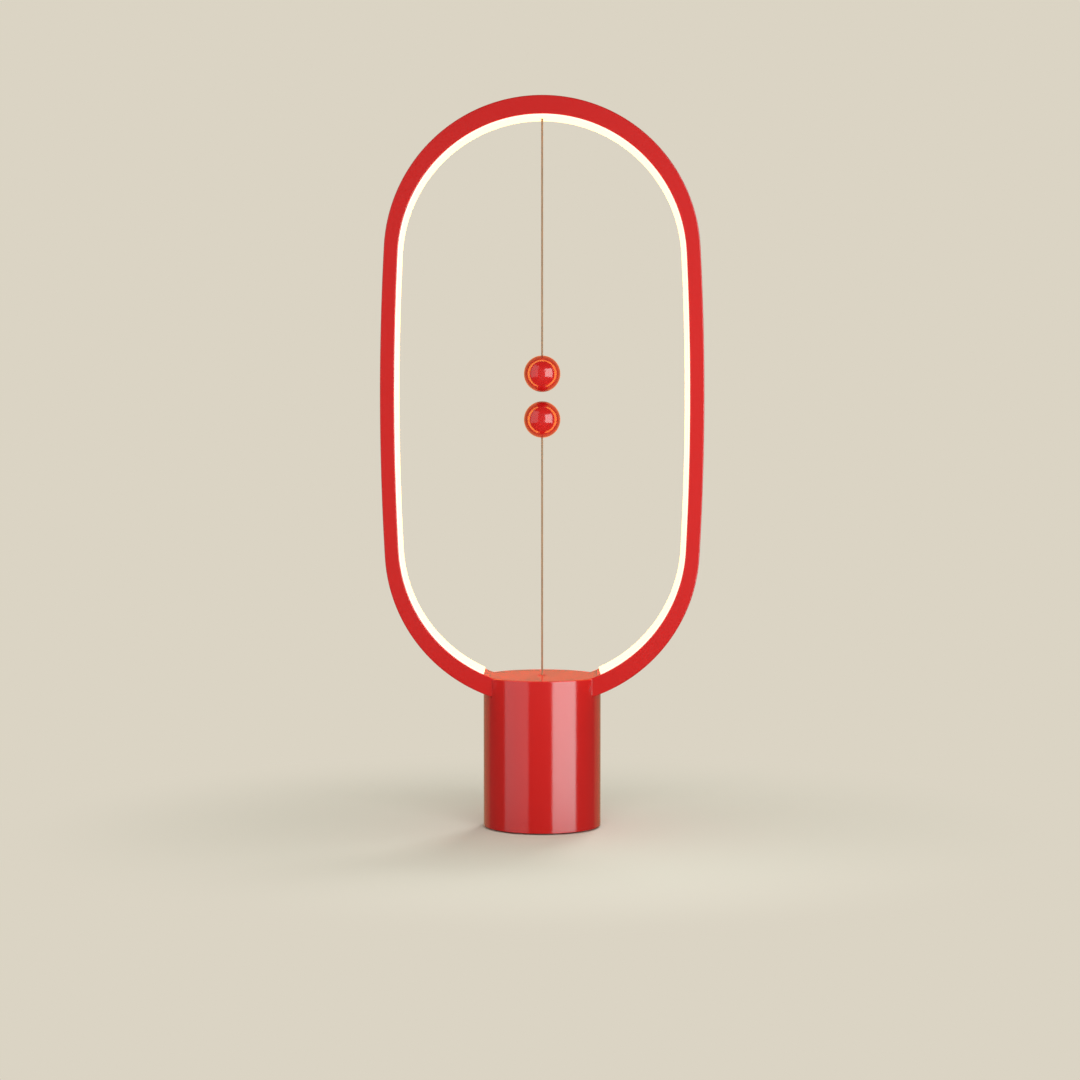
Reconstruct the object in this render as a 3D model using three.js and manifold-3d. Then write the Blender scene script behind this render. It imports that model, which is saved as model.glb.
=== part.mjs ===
// Magnetic balance lamp: an oval light ring in a round base, two balls on cords that meet
// at a magnetic gap, and the pull switch that the lower cord works.
// Millimetres, +Z up, origin at the middle of the base's underside, front towards -Y.

import * as THREE from 'three';
import { mergeVertices } from 'three/addons/utils/BufferGeometryUtils.js';
import Module from 'manifold-3d';

const wasm = await Module();
wasm.setup();

// Driving dimensions: fits shared by all pieces
const fitGap = 0.3;
const cutOverrun = 2;
const weldTolerance = 0.0001;

// Driving dimensions: base
const baseRadius = 32.3;
const baseHeight = 83.7;
const shellWall = 2.2;
const shellBevel = 0.5;
const coverThickness = 2;
const coverLedge = 0.9;
const coverRimWall = 1.4;
const coverRimDepth = 2.4;
const eyeletBoreRadius = 1.9;
const eyeletWall = 0.9;
const eyeletFlangeWidth = 0.9;
const eyeletFlangeHeight = 0.2;
const eyeletDepth = 4;
const footProud = 0.8;
const footThickness = 1.6;
const footInset = 1.4;
const bottomCoverThickness = 3.6;

// Driving dimensions: posts, screws and ballast inside the base
const postRadius = 3.4;
const postInset = 3.6;
const postWebThickness = 3;
const screwShankRadius = 1.2;
const screwHeadRadius = 2.3;
const screwHeadHeight = 1.4;
const screwCrownShare = 0.6;
const coverScrewLength = 9;
const saddleScrewLength = 9;
const boardScrewLength = 6;
const bracketScrewLength = 6;
const ringScrewLength = 10;
const ballastScrewShare = 0.3;
const boardRoom = 8.65;
const standoffRadius = 3;
const standoffInset = 7.5;
const standoffRise = 4;

// Driving dimensions: ring
const ringHalfWidth = 88.1;
const ringHalfHeight = 165.5;
const ringSideBulge = 2.25;
const ringFaceSide = 7.8;
const ringFaceTop = 10;
const ringInnerBulge = 2;
const ringDepth = 34;
const ringSink = 14.7;
const ringFloorWall = 2.2;
const ringLipWall = 1.8;
const ringInnerWall = 1.8;
const ringBevel = 0.5;
const ringEndGap = 20;
const ringBossRadius = 3.2;
const ringScrewSpread = 15;

// Driving dimensions: light
const diffuserProud = 1.2;
const diffuserWall = 1.6;
const diffuserLeg = 1.2;
const diffuserEdgeRound = 2.4;
const shoulderShare = 0.2;
const quarterRoundShare = 0.75;
const quarterDepthShare = 0.33;
const diffuserEndInset = 0.5;
const diffuserHoleRadius = 2.2;
const stripWidth = 8;
const stripThickness = 0.4;
const stripEndX = 22;
const ledLength = 3.5;
const ledWidth = 2.8;
const ledHeight = 0.8;
const ledPitch = 16.7;
const ledSeat = 0.25;

// Driving dimensions: cords, knots, balls and magnets
const cordRadius = 0.55;
const cordBoreRadius = 0.85;
const knotRadius = 0.95;
const upperPivotLift = 0.5;
const lowerPivotLift = 0.6;
const ballRadius = 10;
const ballGap = 5.1;
const upperBallDrop = 150.1;
const magnetRadius = 4;
const magnetThickness = 4.5;
const magnetDepth = 3;
const magnetBevel = 0.3;
const crimpRadius = 1.6;
const crimpLength = 1.4;
const anchorWidth = 8;
const anchorDepth = 10;
const anchorKnotLength = 2.4;
const anchorKnotRadius = 1.6;
const knotEdgeShare = 0.25;

// Driving dimensions: saddle, pull switch and its bracket
const saddleDrop = 5;
const saddleSideInset = 6.1;
const saddleEarRadius = 4.3;
const saddleEarOverlap = 0.56;
const saddleEarThickness = 3;
const saddleBoreRadius = 4;
const leadHoleRadius = 1.8;
const leadHoleX = 8;
const leadHoleY = 8;
const bracketPlate = 2.5;
const bracketPlateHalfWidth = 5.6;
const bracketScrewInset = 3.2;
const bracketBackWall = 2.5;
const bracketLugHeight = 6;
const bracketLugRadius = 5.4;
const plungerRadius = 2;
const plungerCollarRadius = 6;
const plungerCollarHeight = 1.5;
const plungerStroke = 3;
const plungerHead = 5;
const plungerTail = 1;
const clipRadius = 3.4;
const clipThickness = 1.2;
const clipGrooveDepth = 0.5;
const tailDepth = 4.5;
const springLength = 10.4;
const springWire = 0.7;
const springRadius = 2.95;
const springCurls = 6;
const switchLength = 12.8;
const switchThickness = 5.8;
const switchHeight = 6.5;
const switchOffset = 1.2;
const switchPegRadius = 0.9;
const switchPegShares = [0.25, 0.75];
const terminalHeight = 2.4;
const terminalWidth = 1.4;
const terminalThickness = 0.6;
const terminalCount = 3;
const leverThickness = 0.4;
const leverWidth = 3.6;
const leverReach = 1.4;
const leverPivotInset = 1;
const leverEyeRadius = 0.7;
const leverRise = 0.9;
const buttonRadius = 0.9;
const buttonArm = 5;
const buttonDepth = 2;
const buttonTravelShare = 0.24;

// Driving dimensions: electronics
const boardThickness = 1.6;
const boardEdgeGap = 0.6;
const boardTongueHalfWidth = 8.5;
const boardTongueBack = 3;
const socketWidth = 9;
const socketHeight = 3.2;
const socketLength = 7.4;
const socketWall = 0.4;
const socketTongue = 0.7;
const portMargin = 0.35;
const connectorWidth = 10;
const leadSpreadShare = 0.33;
const connectorDepth = 6;
const connectorHeight = 5.5;
const connectorWall = 1.2;
const connectorY = 8;
const capacitorRadius = 3.1;
const capacitorHeight = 7;
const coilSide = 6.5;
const coilHeight = 3.5;
const chipLength = 5;
const chipWidth = 4;
const chipHeight = 1.2;
const componentShare = 0.42;
const leadRadius = 0.8;

// Facet counts
const baseSteps = 40;
const roundSteps = 16;
const smallSteps = 8;
const ballSteps = 24;
const sideSteps = 2;
const capSteps = 10;
const cordSteps = 8;
const leadSides = 6;
const leadSteps = 20;
const springSteps = 8;
const springSides = 5;

// Heights and radii that follow from the sizes above
const shellInnerRadius = baseRadius - shellWall;
const postCircle = shellInnerRadius - postInset;
const bottomCoverTop = footProud + bottomCoverThickness;
const ballastRadius = postCircle - postRadius - 2 * fitGap;
const standoffCircle = ballastRadius - standoffInset;
const ringBottom = baseHeight - ringSink;
const ringCentreZ = ringBottom + ringHalfHeight;
const lampHeight = ringBottom + 2 * ringHalfHeight;
const saddleBottom = ringBottom - saddleDrop;
const plateBottom = saddleBottom - bracketPlate;
const collarTop = plateBottom - springLength;
const collarBottom = collarTop - plungerCollarHeight;
const lugTop = collarBottom - plungerStroke - fitGap;
const lugBottom = lugTop - bracketLugHeight;
const plungerTop = saddleBottom + plungerHead - bracketPlate;
const clipTop = lugBottom - fitGap;
const grooveTop = clipTop + fitGap / 2;
const grooveBottom = clipTop - clipThickness - fitGap / 2;
const plungerBottom = grooveBottom - plungerTail;
const boardTop = plungerBottom - plungerStroke - boardRoom;
const boardBottom = boardTop - boardThickness;
const ballastTop = boardBottom - standoffRise;
const ballastHeight = ballastTop - bottomCoverTop;
const lowerPivotZ = baseHeight + lowerPivotLift;
const upperBallZ = lampHeight - upperBallDrop;
const lowerBallZ = upperBallZ - 2 * ballRadius - ballGap;

// The two outlines of the ring. Each is an oval of four arcs: two wide side arcs that bow
// out between two caps. It is described by its cap and side radii and where they join.
function ovalOutline(halfWidth, halfHeight, bulge) {
  const capRadius = halfWidth - bulge;
  const capRise = halfHeight - capRadius;
  const sideRadius = (halfWidth ** 2 + capRise ** 2 - capRadius ** 2) / (2 * bulge);
  const joinAngle = Math.atan2(capRise, sideRadius - halfWidth);
  return { halfWidth, capRadius, capRise, sideRadius, joinAngle };
}

const outerOval = ovalOutline(ringHalfWidth, ringHalfHeight, ringSideBulge);
const innerOval = ovalOutline(
  ringHalfWidth - ringFaceSide,
  ringHalfHeight - ringFaceTop,
  ringInnerBulge,
);

// A place along the loop is a turn from -2 to 2: 0 is the top, 1 the middle of the right
// side and 2 the bottom, and the left side is negative. Part of each quarter is side arc.
const sideArcShare = sideSteps / (sideSteps + capSteps);

function loopTurns() {
  const quarter = [];
  for (let i = 0; i < capSteps; i += 1) {
    quarter.push((1 - sideArcShare) * (i / capSteps));
  }
  for (let i = 0; i < sideSteps; i += 1) {
    quarter.push(1 - sideArcShare + sideArcShare * (i / sideSteps));
  }
  const half = [...quarter, 1];
  for (let i = quarter.length - 1; i >= 0; i -= 1) {
    half.push(2 - quarter[i]);
  }
  const left = half.slice(1).reverse().map((turn) => -turn);
  return [...left, ...half];
}

// The point of an oval, moved in towards the loop's middle by inset, with its outward normal
function ovalPoint(oval, turn, inset) {
  const reach = Math.abs(turn);
  const fromSide = Math.abs(reach - 1);
  const onSideArc = fromSide < sideArcShare;
  const capShare = (fromSide - sideArcShare) / (1 - sideArcShare);
  const angle = onSideArc
    ? oval.joinAngle * (fromSide / sideArcShare)
    : oval.joinAngle + (Math.PI / 2 - oval.joinAngle) * capShare;
  const right = turn < 0 ? -1 : 1;
  const up = reach > 1 ? -1 : 1;
  const centreX = onSideArc ? oval.halfWidth - oval.sideRadius : 0;
  const centreZ = onSideArc ? 0 : oval.capRise;
  const radius = (onSideArc ? oval.sideRadius : oval.capRadius) - inset;
  const normalX = Math.cos(angle) * right;
  const normalZ = Math.sin(angle) * up;
  return {
    x: centreX * right + radius * normalX,
    z: ringCentreZ + centreZ * up + radius * normalZ,
    normalX,
    normalZ,
  };
}

// The turn at a length along an oval from its top, for the inset line
function turnAtLength(oval, inset, length) {
  const capLength = (oval.capRadius - inset) * (Math.PI / 2 - oval.joinAngle);
  const sideLength = (oval.sideRadius - inset) * oval.joinAngle;
  if (length < capLength) {
    return (1 - sideArcShare) * (length / capLength);
  }
  const pastTopCap = length - capLength;
  if (pastTopCap < 2 * sideLength) {
    return 1 - sideArcShare + sideArcShare * (pastTopCap / sideLength);
  }
  const pastSide = pastTopCap - 2 * sideLength;
  return 1 + sideArcShare + (1 - sideArcShare) * (pastSide / capLength);
}

// The turn and the length where an oval's inset line, near the bottom, is x from the middle
function bottomTurnAtX(oval, inset, x) {
  const angle = Math.acos(x / (oval.capRadius - inset));
  const capShare = (angle - oval.joinAngle) / (Math.PI / 2 - oval.joinAngle);
  return 1 + sideArcShare + (1 - sideArcShare) * capShare;
}

function bottomLengthAtX(oval, inset, x) {
  const capLength = (oval.capRadius - inset) * (Math.PI / 2 - oval.joinAngle);
  const sideLength = (oval.sideRadius - inset) * oval.joinAngle;
  const angle = Math.acos(x / (oval.capRadius - inset));
  return capLength + 2 * sideLength + (oval.capRadius - inset) * (angle - oval.joinAngle);
}

// Height of an oval's lower inset line, x from the middle
function bottomHeightAtX(oval, inset, x) {
  const radius = oval.capRadius - inset;
  return ringCentreZ - oval.capRise - Math.sqrt(radius ** 2 - x ** 2);
}

// Solids: from a geometry to a manifold and back, and the plain shapes used throughout
function solidOf(geometry) {
  const bare = geometry.index ? geometry.toNonIndexed() : geometry.clone();
  bare.deleteAttribute('normal');
  bare.deleteAttribute('uv');
  const merged = mergeVertices(bare, weldTolerance);
  const corners = merged.index.array;
  const kept = [];
  for (let i = 0; i < corners.length; i += 3) {
    const [a, b, c] = [corners[i], corners[i + 1], corners[i + 2]];
    if (a !== b && b !== c && c !== a) {
      kept.push(a, b, c);
    }
  }
  const build = (triangles) => new wasm.Manifold(new wasm.Mesh({
    numProp: 3,
    vertProperties: Float32Array.from(merged.attributes.position.array),
    triVerts: Uint32Array.from(triangles),
  }));
  const solid = build(kept);
  if (solid.volume() > 0) {
    return solid;
  }
  for (let i = 0; i < kept.length; i += 3) {
    [kept[i + 1], kept[i + 2]] = [kept[i + 2], kept[i + 1]];
  }
  return build(kept);
}

function geometryOf(solid) {
  const mesh = solid.getMesh();
  const geometry = new THREE.BufferGeometry();
  geometry.setAttribute('position', new THREE.BufferAttribute(mesh.vertProperties, 3));
  geometry.setIndex(new THREE.BufferAttribute(mesh.triVerts, 1));
  const flat = geometry.toNonIndexed();
  flat.computeVertexNormals();
  return flat;
}

function box(x0, x1, y0, y1, z0, z1) {
  const geometry = new THREE.BoxGeometry(x1 - x0, y1 - y0, z1 - z0);
  geometry.translate((x0 + x1) / 2, (y0 + y1) / 2, (z0 + z1) / 2);
  return solidOf(geometry);
}

function upright(radius, bottom, top, x = 0, y = 0, steps = roundSteps) {
  const geometry = new THREE.CylinderGeometry(radius, radius, top - bottom, steps);
  geometry.rotateX(Math.PI / 2);
  geometry.translate(x, y, (bottom + top) / 2);
  return solidOf(geometry);
}

// A profile of [radius, height] points turned about the vertical axis
function turned(profile, steps = roundSteps) {
  const points = profile.map(([radius, height]) => new THREE.Vector2(radius, height));
  const geometry = new THREE.LatheGeometry(points, steps);
  geometry.rotateX(Math.PI / 2);
  return solidOf(geometry);
}

// An outline of [x, z] points run through the depth of the lamp
function slab(outline, yFront, yBack) {
  const shape = new THREE.Shape(outline.map(([x, z]) => new THREE.Vector2(x, z)));
  const geometry = new THREE.ExtrudeGeometry(shape, {
    depth: yBack - yFront,
    bevelEnabled: false,
  });
  geometry.rotateX(Math.PI / 2);
  geometry.translate(0, yBack, 0);
  return solidOf(geometry);
}

function tubeAlong(points, radius, steps = leadSteps, sides = leadSides) {
  const path = new THREE.CatmullRomCurve3(points.map((point) => new THREE.Vector3(...point)));
  const section = new THREE.Shape();
  for (let i = 0; i < sides; i += 1) {
    const angle = (2 * Math.PI * i) / sides;
    const corner = [radius * Math.cos(angle), radius * Math.sin(angle)];
    if (i === 0) {
      section.moveTo(...corner);
    } else {
      section.lineTo(...corner);
    }
  }
  section.closePath();
  return solidOf(new THREE.ExtrudeGeometry(section, {
    steps,
    bevelEnabled: false,
    extrudePath: path,
  }));
}

// A band swept round the ring. Its section is a list of [depth, oval, inset] corners; a
// band between two turns is capped at both, and one without turns closes on itself.
function sweptBand(section, fromTurn, toTurn) {
  const whole = fromTurn === undefined;
  const turns = loopTurns();
  const stations = whole
    ? turns.slice(1)
    : [fromTurn, ...turns.filter((turn) => turn > fromTurn && turn < toTurn), toTurn];
  const positions = [];
  for (const turn of stations) {
    for (const [depth, oval, inset] of section) {
      const place = ovalPoint(oval, turn, inset);
      positions.push(place.x, depth, place.z);
    }
  }
  const corners = [];
  const count = section.length;
  const spans = whole ? stations.length : stations.length - 1;
  for (let i = 0; i < spans; i += 1) {
    const here = i * count;
    const next = ((i + 1) % stations.length) * count;
    for (let j = 0; j < count; j += 1) {
      const k = (j + 1) % count;
      corners.push(here + j, next + j, next + k, here + j, next + k, here + k);
    }
  }
  if (!whole) {
    const outline = section.map(([depth, oval, inset]) => {
      const offset = oval === outerOval ? ringFaceTop : 0;
      return new THREE.Vector2(depth, offset - inset);
    });
    const wound = Math.sign(THREE.ShapeUtils.area(outline));
    const last = (stations.length - 1) * count;
    for (const [a, p, q] of THREE.ShapeUtils.triangulateShape(outline, [])) {
      const turnsAlike = Math.sign(THREE.ShapeUtils.area([outline[a], outline[p], outline[q]]));
      const [b, c] = turnsAlike === wound ? [p, q] : [q, p];
      corners.push(a, b, c, last + a, last + c, last + b);
    }
  }
  const geometry = new THREE.BufferGeometry();
  geometry.setAttribute('position', new THREE.Float32BufferAttribute(positions, 3));
  geometry.setIndex(corners);
  return solidOf(geometry);
}

function rectangularBand(halfDepth, outerInset, innerInset, fromTurn, toTurn) {
  return sweptBand([
    [-halfDepth, outerOval, outerInset],
    [halfDepth, outerOval, outerInset],
    [halfDepth, innerOval, innerInset],
    [-halfDepth, innerOval, innerInset],
  ], fromTurn, toTurn);
}

// Materials
const finish = (color, roughness, metalness) => new THREE.MeshStandardMaterial({
  color,
  roughness,
  metalness,
});
const redShell = finish('#c62624', 0.28, 0);
const redInner = finish('#b3221f', 0.5, 0);
const glowing = finish('#fffff0', 0.45, 0);
glowing.emissive = new THREE.Color('#fff4d6');
const braid = finish('#b08a62', 0.85, 0);
const blackRubber = finish('#26262a', 0.8, 0);
const castIron = finish('#4a4b4e', 0.6, 0.9);
const zincSteel = finish('#b9bcc0', 0.35, 1);
const springSteel = finish('#9da1a6', 0.3, 1);
const greyNylon = finish('#8d9196', 0.6, 0);
const blackPlastic = finish('#1d1e21', 0.45, 0);
const boardGreen = finish('#1f5d3a', 0.5, 0);
const stripWhite = finish('#e8e8e2', 0.5, 0);
const nickel = finish('#c4c6c9', 0.25, 1);
const brass = finish('#c39a4a', 0.3, 1);
const leadWhite = finish('#dcdcd8', 0.6, 0);

const lamp = new THREE.Group();
const baseGroup = new THREE.Group();
const ringGroup = new THREE.Group();
const switchGroup = new THREE.Group();
const upperGroup = new THREE.Group();
const lowerGroup = new THREE.Group();
lamp.add(baseGroup, ringGroup, switchGroup, upperGroup, lowerGroup);

function addPiece(group, name, solid, material, place = [0, 0, 0], flipped = false) {
  const mesh = new THREE.Mesh(geometryOf(solid), material);
  mesh.name = name;
  mesh.position.set(...place);
  if (flipped) {
    mesh.rotation.x = Math.PI;
  }
  group.add(mesh);
}

// A pan-head screw: its seat at the origin, its head above and its shank below
function panScrew(length) {
  const tip = screwShankRadius / 2;
  const crown = screwHeadRadius * screwCrownShare;
  return turned([
    [0, -length],
    [tip, -length],
    [screwShankRadius, screwShankRadius - length],
    [screwShankRadius, 0],
    [screwHeadRadius, 0],
    [screwHeadRadius, screwHeadHeight / 2],
    [crown, screwHeadHeight],
    [0, screwHeadHeight],
  ], smallSteps);
}

const pilotRadius = screwShankRadius + fitGap;

function pilotHole(x, y, bottom, top) {
  return upright(pilotRadius, bottom, top, x, y, smallSteps);
}

function headRoom(x, y, bottom, top) {
  return upright(screwHeadRadius + fitGap, bottom, top, x, y, smallSteps);
}

// The four posts of the shell, and the three standoffs of the bottom cover
const postPlaces = [0, 1, 2, 3].map((quarter) => {
  const angle = Math.PI / 4 + (quarter * Math.PI) / 2;
  return { angle, x: postCircle * Math.cos(angle), y: postCircle * Math.sin(angle) };
});
const standoffPlaces = [0, 1, 2].map((third) => {
  const angle = -Math.PI / 2 + (third * 2 * Math.PI) / 3;
  return { x: standoffCircle * Math.cos(angle), y: standoffCircle * Math.sin(angle) };
});

// The room that the ring takes in the base, open upwards
const ringRoom = rectangularBand(ringDepth / 2 + fitGap, -fitGap, ringFaceSide + ringSink);

// Base shell: a bevelled tube with a ledge for the top cover, four screw posts on webs,
// two slots for the ring and a port at the back
function baseShell() {
  const topInner = shellInnerRadius + coverLedge;
  const ledgeZ = baseHeight - coverThickness;
  let shell = turned([
    [shellInnerRadius, footProud],
    [baseRadius - shellBevel, footProud],
    [baseRadius, footProud + shellBevel],
    [baseRadius, baseHeight - shellBevel],
    [baseRadius - shellBevel, baseHeight],
    [topInner, baseHeight],
    [topInner, ledgeZ],
    [shellInnerRadius, ledgeZ],
    [shellInnerRadius, footProud],
  ], baseSteps);
  const webLength = shellInnerRadius + shellWall / 2 - postCircle;
  for (const { angle, x, y } of postPlaces) {
    const web = new THREE.BoxGeometry(webLength, postWebThickness, saddleBottom - bottomCoverTop);
    web.translate(postCircle + webLength / 2, 0, (saddleBottom + bottomCoverTop) / 2);
    web.rotateZ(angle);
    shell = shell.add(upright(postRadius, bottomCoverTop, saddleBottom, x, y));
    shell = shell.add(solidOf(web));
  }
  for (const { x, y } of postPlaces) {
    const lowHole = bottomCoverTop + coverScrewLength;
    const highHole = saddleBottom - saddleScrewLength;
    shell = shell.subtract(pilotHole(x, y, bottomCoverTop - cutOverrun, lowHole));
    shell = shell.subtract(pilotHole(x, y, highHole, saddleBottom + cutOverrun));
  }
  shell = shell.subtract(ringRoom);
  return shell.subtract(portCut());
}

// The port is a slot with round ends, through the back wall on the socket's centre line
function portCut() {
  const halfHeight = socketHeight / 2 + portMargin;
  const straight = socketWidth / 2 + portMargin - halfHeight;
  const centreZ = boardTop + fitGap + socketHeight / 2;
  const shape = new THREE.Shape();
  shape.absarc(straight, 0, halfHeight, -Math.PI / 2, Math.PI / 2);
  shape.absarc(-straight, 0, halfHeight, Math.PI / 2, (3 * Math.PI) / 2);
  const geometry = new THREE.ExtrudeGeometry(shape, {
    depth: shellWall + 2 * cutOverrun,
    bevelEnabled: false,
    curveSegments: smallSteps,
  });
  geometry.rotateX(Math.PI / 2);
  geometry.translate(0, baseRadius + cutOverrun, centreZ);
  return solidOf(geometry);
}

// Top cover: a disc on the shell's ledge with a locating rim, cut to the ring's faces
function topCover() {
  const radius = shellInnerRadius + coverLedge - fitGap;
  const rimOuter = shellInnerRadius - fitGap;
  const underside = baseHeight - coverThickness;
  const rimBottom = underside - coverRimDepth;
  const disc = turned([
    [0, underside],
    [rimOuter - coverRimWall, underside],
    [rimOuter - coverRimWall, rimBottom],
    [rimOuter, rimBottom],
    [rimOuter, underside],
    [radius, underside],
    [radius, baseHeight],
    [0, baseHeight],
  ], baseSteps);
  const eyeletHole = upright(
    eyeletBoreRadius + eyeletWall + fitGap,
    underside - cutOverrun,
    baseHeight + cutOverrun,
  );
  return disc.subtract(eyeletHole).subtract(ringShoulders());
}

// What lies outside the ring's inner face under the cover, within the ring's depth
function ringShoulders() {
  const halfDepth = ringDepth / 2 + fitGap;
  const reach = ringFaceTop + ringSink;
  return rectangularBand(halfDepth, ringFloorWall - reach, fitGap);
}

function cordEyelet() {
  const underside = baseHeight - eyeletDepth;
  const sleeve = eyeletBoreRadius + eyeletWall;
  const flange = sleeve + eyeletFlangeWidth;
  return turned([
    [eyeletBoreRadius, underside],
    [sleeve, underside],
    [sleeve, baseHeight],
    [flange, baseHeight],
    [flange - eyeletFlangeHeight / 2, baseHeight + eyeletFlangeHeight],
    [eyeletBoreRadius + eyeletFlangeHeight / 2, baseHeight + eyeletFlangeHeight],
    [eyeletBoreRadius, baseHeight],
    [eyeletBoreRadius, underside],
  ]);
}

// Bottom cover: a disc with three standoffs, a recess for the foot pad and counterbores
const footRecess = footThickness - footProud;
const coverSeatZ = footThickness + fitGap + screwHeadHeight;
const ballastScrewTip = bottomCoverTop + ballastHeight * ballastScrewShare;

function bottomCover() {
  const radius = shellInnerRadius - fitGap;
  const recessRadius = radius - footInset;
  let cover = turned([
    [0, footThickness],
    [recessRadius, footThickness],
    [recessRadius, footThickness - footRecess],
    [radius, footThickness - footRecess],
    [radius, bottomCoverTop],
    [0, bottomCoverTop],
  ], baseSteps);
  for (const { x, y } of standoffPlaces) {
    cover = cover.add(upright(standoffRadius, bottomCoverTop - fitGap, boardBottom, x, y));
    cover = cover.subtract(pilotHole(x, y, boardBottom - boardScrewLength, boardBottom + cutOverrun));
  }
  for (const { x, y } of [...postPlaces, { x: 0, y: 0 }]) {
    const mouth = footThickness - fitGap;
    cover = cover.subtract(headRoom(x, y, mouth, coverSeatZ));
    cover = cover.subtract(pilotHole(x, y, footThickness, bottomCoverTop + cutOverrun));
  }
  return cover;
}

function footPad() {
  const radius = shellInnerRadius - 2 * fitGap - footInset;
  return turned([
    [0, 0],
    [radius - footProud / 2, 0],
    [radius, footProud / 2],
    [radius, footThickness],
    [0, footThickness],
  ], baseSteps);
}

function ballastDisc() {
  let disc = turned([
    [0, bottomCoverTop],
    [ballastRadius, bottomCoverTop],
    [ballastRadius, ballastTop - shellBevel],
    [ballastRadius - shellBevel, ballastTop],
    [0, ballastTop],
  ], baseSteps);
  for (const { x, y } of standoffPlaces) {
    const radius = standoffRadius + 2 * fitGap;
    disc = disc.subtract(upright(radius, bottomCoverTop - fitGap, ballastTop + fitGap, x, y));
  }
  return disc.subtract(pilotHole(0, 0, bottomCoverTop - fitGap, ballastScrewTip + fitGap));
}

addPiece(baseGroup, 'base_shell', baseShell(), redShell);
addPiece(baseGroup, 'top_cover', topCover(), redShell);
addPiece(baseGroup, 'cord_eyelet', cordEyelet(), redShell);
addPiece(baseGroup, 'bottom_cover', bottomCover(), blackPlastic);
addPiece(baseGroup, 'foot_pad', footPad(), blackRubber);
addPiece(baseGroup, 'ballast', ballastDisc(), castIron);
const ballastScrew = panScrew(ballastScrewTip - coverSeatZ);
addPiece(baseGroup, 'ballast_screw', ballastScrew, zincSteel, [0, 0, coverSeatZ], true);
postPlaces.forEach(({ x, y }, i) => {
  const coverScrew = panScrew(coverScrewLength);
  addPiece(baseGroup, `cover_screw_${i + 1}`, coverScrew, zincSteel, [x, y, coverSeatZ], true);
});

// Ring frame: a channel, open inwards, that closes to a box section beside the base and
// ends over the switch, with a boss at each end for its screw
const channelHalfDepth = ringDepth / 2 - ringLipWall;
const diffuserEndTurn = bottomTurnAtX(innerOval, 0, baseRadius - diffuserEndInset);

function ringFrame() {
  const half = ringDepth / 2;
  let frame = sweptBand([
    [-half + ringBevel, outerOval, 0],
    [half - ringBevel, outerOval, 0],
    [half, outerOval, ringBevel],
    [half, innerOval, -ringBevel],
    [half - ringBevel, innerOval, 0],
    [-half + ringBevel, innerOval, 0],
    [-half, innerOval, -ringBevel],
    [-half, outerOval, ringBevel],
  ]);
  frame = frame.subtract(rectangularBand(channelHalfDepth, ringFloorWall, -ringInnerWall));
  frame = frame.subtract(rectangularBand(
    channelHalfDepth,
    ringFloorWall + fitGap,
    cutOverrun,
    -diffuserEndTurn,
    diffuserEndTurn,
  ));
  for (const side of [-1, 1]) {
    const x = side * ringScrewSpread;
    const bossBottom = bottomHeightAtX(outerOval, ringFloorWall / 2, ringScrewSpread);
    const bossTop = bottomHeightAtX(innerOval, -ringInnerWall / 2, ringScrewSpread);
    frame = frame.add(upright(ringBossRadius, bossBottom, bossTop, x, 0));
    const pilotTop = ringScrewSeat + ringScrewLength;
    frame = frame.subtract(pilotHole(x, 0, ringBottom - cutOverrun, pilotTop));
  }
  const gapTop = ringBottom + 2 * ringFaceTop;
  const gapDepth = half + cutOverrun;
  return frame.subtract(box(
    -ringEndGap / 2,
    ringEndGap / 2,
    -gapDepth,
    gapDepth,
    ringBottom - cutOverrun,
    gapTop,
  ));
}

// Diffuser: a crowned strip on two legs that stand on the channel's floor
function lightDiffuser() {
  const half = channelHalfDepth - fitGap;
  const foot = ringFloorWall + fitGap;
  const shoulder = diffuserProud * shoulderShare;
  const quarterRound = diffuserProud * quarterRoundShare;
  const quarterDepth = diffuserEdgeRound * quarterDepthShare;
  const under = diffuserProud - diffuserWall;
  const turn = bottomTurnAtX(innerOval, 0, baseRadius - diffuserEndInset + fitGap);
  const strip = sweptBand([
    [-half, outerOval, foot],
    [-half, innerOval, shoulder],
    [-half + quarterDepth, innerOval, quarterRound],
    [-half + diffuserEdgeRound, innerOval, diffuserProud],
    [half - diffuserEdgeRound, innerOval, diffuserProud],
    [half - quarterDepth, innerOval, quarterRound],
    [half, innerOval, shoulder],
    [half, outerOval, foot],
    [half - diffuserLeg, outerOval, foot],
    [half - diffuserLeg, innerOval, under],
    [-half + diffuserLeg, innerOval, under],
    [-half + diffuserLeg, outerOval, foot],
  ], -turn, turn);
  const hole = upright(
    diffuserHoleRadius,
    diffuserFaceZ - cutOverrun,
    diffuserFaceZ + diffuserWall + cutOverrun,
  );
  return strip.subtract(hole);
}

// LED strip for one side: a thin board on the channel's floor with its chips in a row
const anchorHalfLength = anchorWidth / 2;
const stripInset = ringFloorWall + fitGap;

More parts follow.
